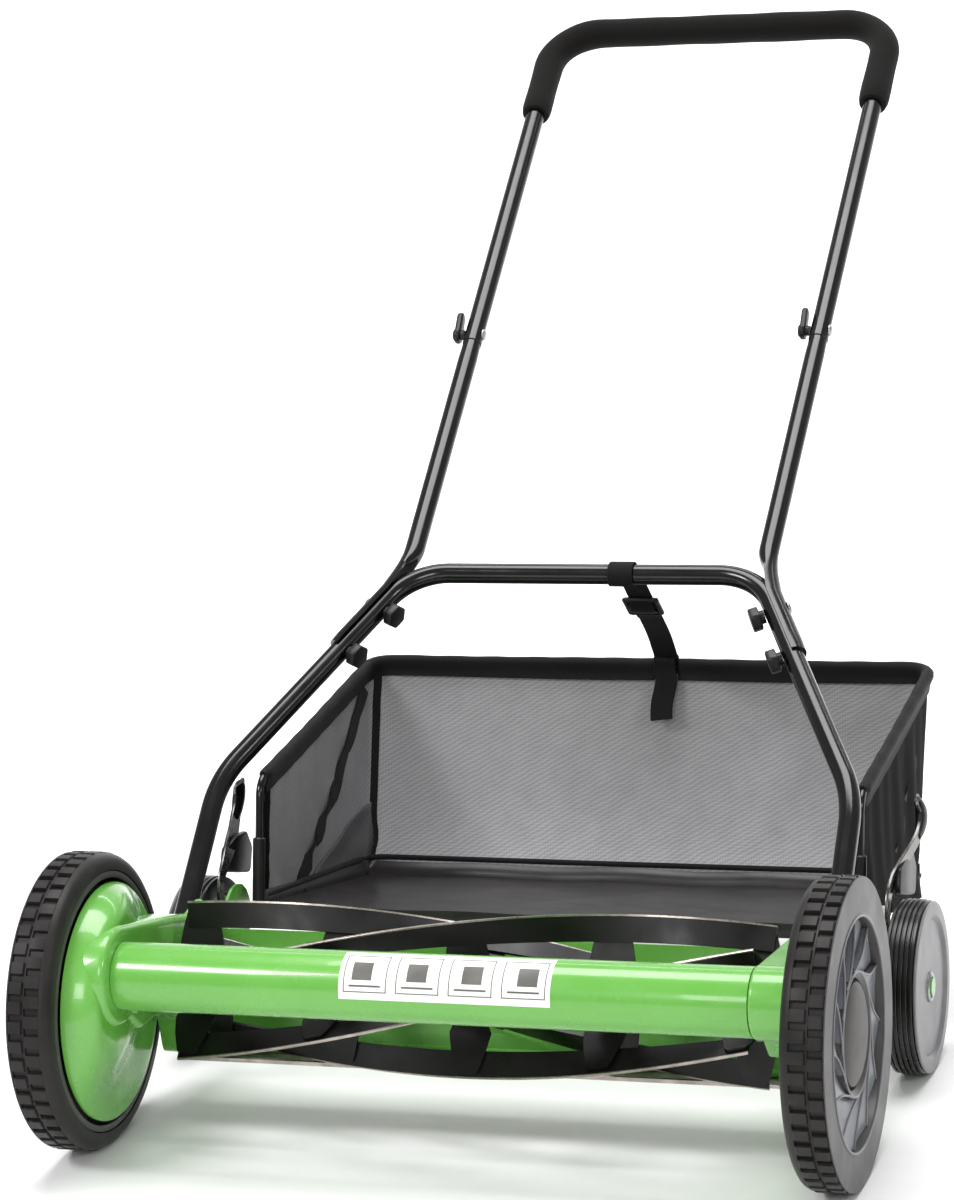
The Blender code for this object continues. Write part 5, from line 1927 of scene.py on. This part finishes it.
    def build_tail(self) -> None:
        """Loose end of the strap, over the hem and down inside."""
        top = self.back_top[1] + self.wire_rise + self.wire_radius + 0.0042
        slant = (Vector(self.back_top) - Vector(self.back_low)).normalized()
        outside = Vector(self.back_top) + Vector((0.0078, 0.0))
        inside = Vector(self.back_top) + Vector((-0.0085, 0.0))
        route = [outside - slant * 0.022, outside, Vector((outside.x - 0.0015, top - 0.001)),
                 Vector(((outside.x + inside.x) / 2, top + 0.001)), Vector((inside.x + 0.0015, top - 0.001)), inside,
                 inside - slant * 0.020, inside - slant * 0.045 + Vector((-0.003, 0.0))]
        path = flowing([self.datum.at(self.strap_to, *point) for point in route], 6)
        for index, spot in enumerate(path[-14:]):
            spot.x += 0.0016 * math.sin(index * 0.45)
        tail = band(path, 0.022, self.strap_thickness, ACROSS)
        make_piece("strap_end", tail, WEBBING, self.body, ["strap_tail"])


@dataclass
class Studio:
    """Pale floor that sweeps up behind, soft lights and the camera."""

    eye: tuple[float, float, float] = (1.0173, -3.3697, 1.1332)
    azimuth: float = 0.3233
    elevation: float = 0.2102
    roll: float = -0.0605
    lens: float = 116.66

    def build(self) -> None:
        """Make the studio."""
        self.build_sweep()
        self.build_lights()
        self.build_camera()

    def build_sweep(self) -> None:
        """Floor and backdrop in one curve."""
        profile = [(-9.0, 0.0), (5.0, 0.0), *arc((5.0, 3.0), 3.0, -90, 0, 16), (8.0, 12.0)]
        form = open_sheet([[Vector((x, y, z - 0.0006)) for x in (-12.0, 12.0)] for y, z in profile])
        mesh = bpy.data.meshes.new("studio_sweep")
        form.to_mesh(mesh)
        form.free()
        mesh.shade_smooth()
        mesh.materials.append(SEAMLESS_PAPER.material())
        sweep = bpy.data.objects.new("studio_sweep", mesh)
        bpy.context.scene.collection.objects.link(sweep)

    def build_lights(self) -> None:
        """A broad key from the front left, a fill, front and top lights, and an even surround."""
        world = bpy.data.worlds.new("studio")
        world.use_nodes = True
        background = world.node_tree.nodes["Background"]
        background.inputs["Color"].default_value = (1.0, 1.0, 1.0, 1.0)
        background.inputs["Strength"].default_value = 0.36
        bpy.context.scene.world = world
        for name, place, aim, size, power in (
                ("key", (-2.6, -3.0, 3.4), (0, 0, 0.2), 1.6, 105.0),
                ("fill", (3.6, -2.2, 2.4), (0.2, 0, 0.3), 1.0, 28.0),
                ("front", (0.5, -4.2, 2.0), (0.1, 0.4, 0.2), 1.8, 42.0),
                ("top", (0.0, 0.2, 4.4), (0, 0.2, 0.0), 3.6, 185.0),
                ("backdrop", (0.0, 3.0, 3.6), (0.0, 5.6, 0.6), 4.5, 330.0)):
            lamp = bpy.data.lights.new(name, "AREA")
            lamp.shape = "RECTANGLE"
            lamp.size = size
            lamp.size_y = size * 0.6
            lamp.energy = power
            item = bpy.data.objects.new(name, lamp)
            item.location = place
            item.rotation_mode = "QUATERNION"
            item.rotation_quaternion = (Vector(aim) - Vector(place)).to_track_quat("-Z", "Y")
            bpy.context.scene.collection.objects.link(item)

    def build_camera(self) -> None:
        """Camera in front, a little to the right and above."""
        lens = bpy.data.cameras.new("camera")
        lens.lens = self.lens
        lens.sensor_width = 36.0
        camera = bpy.data.objects.new("camera", lens)
        right = Vector((math.cos(self.azimuth), math.sin(self.azimuth), 0.0))
        ahead = Vector((-math.sin(self.azimuth) * math.cos(self.elevation),
                        math.cos(self.azimuth) * math.cos(self.elevation), -math.sin(self.elevation)))
        up = right.cross(ahead)
        rolled_right = right * math.cos(self.roll) + up * math.sin(self.roll)
        rolled_up = up * math.cos(self.roll) - right * math.sin(self.roll)
        turn = Matrix((rolled_right, rolled_up, -ahead)).transposed().to_4x4()
        camera.matrix_world = Matrix.Translation(self.eye) @ turn
        bpy.context.scene.collection.objects.link(camera)
        bpy.context.scene.camera = camera


def main() -> None:
    """Build every sub-assembly and the studio round it."""
    logging.basicConfig(level=logging.INFO, format="%(name)s: %(message)s")
    bpy.context.scene.view_settings.view_transform = "Standard"
    datum = Datum.from_frame()
    Chassis(datum).build()
    Reel(datum).build()
    for side in Side:
        FrontWheel(datum, side).build()
        RearCorner(datum, side).build()
    Handle(datum).build()
    Catcher(datum).build()
    Studio().build()


if __name__ == "__main__":
    main()
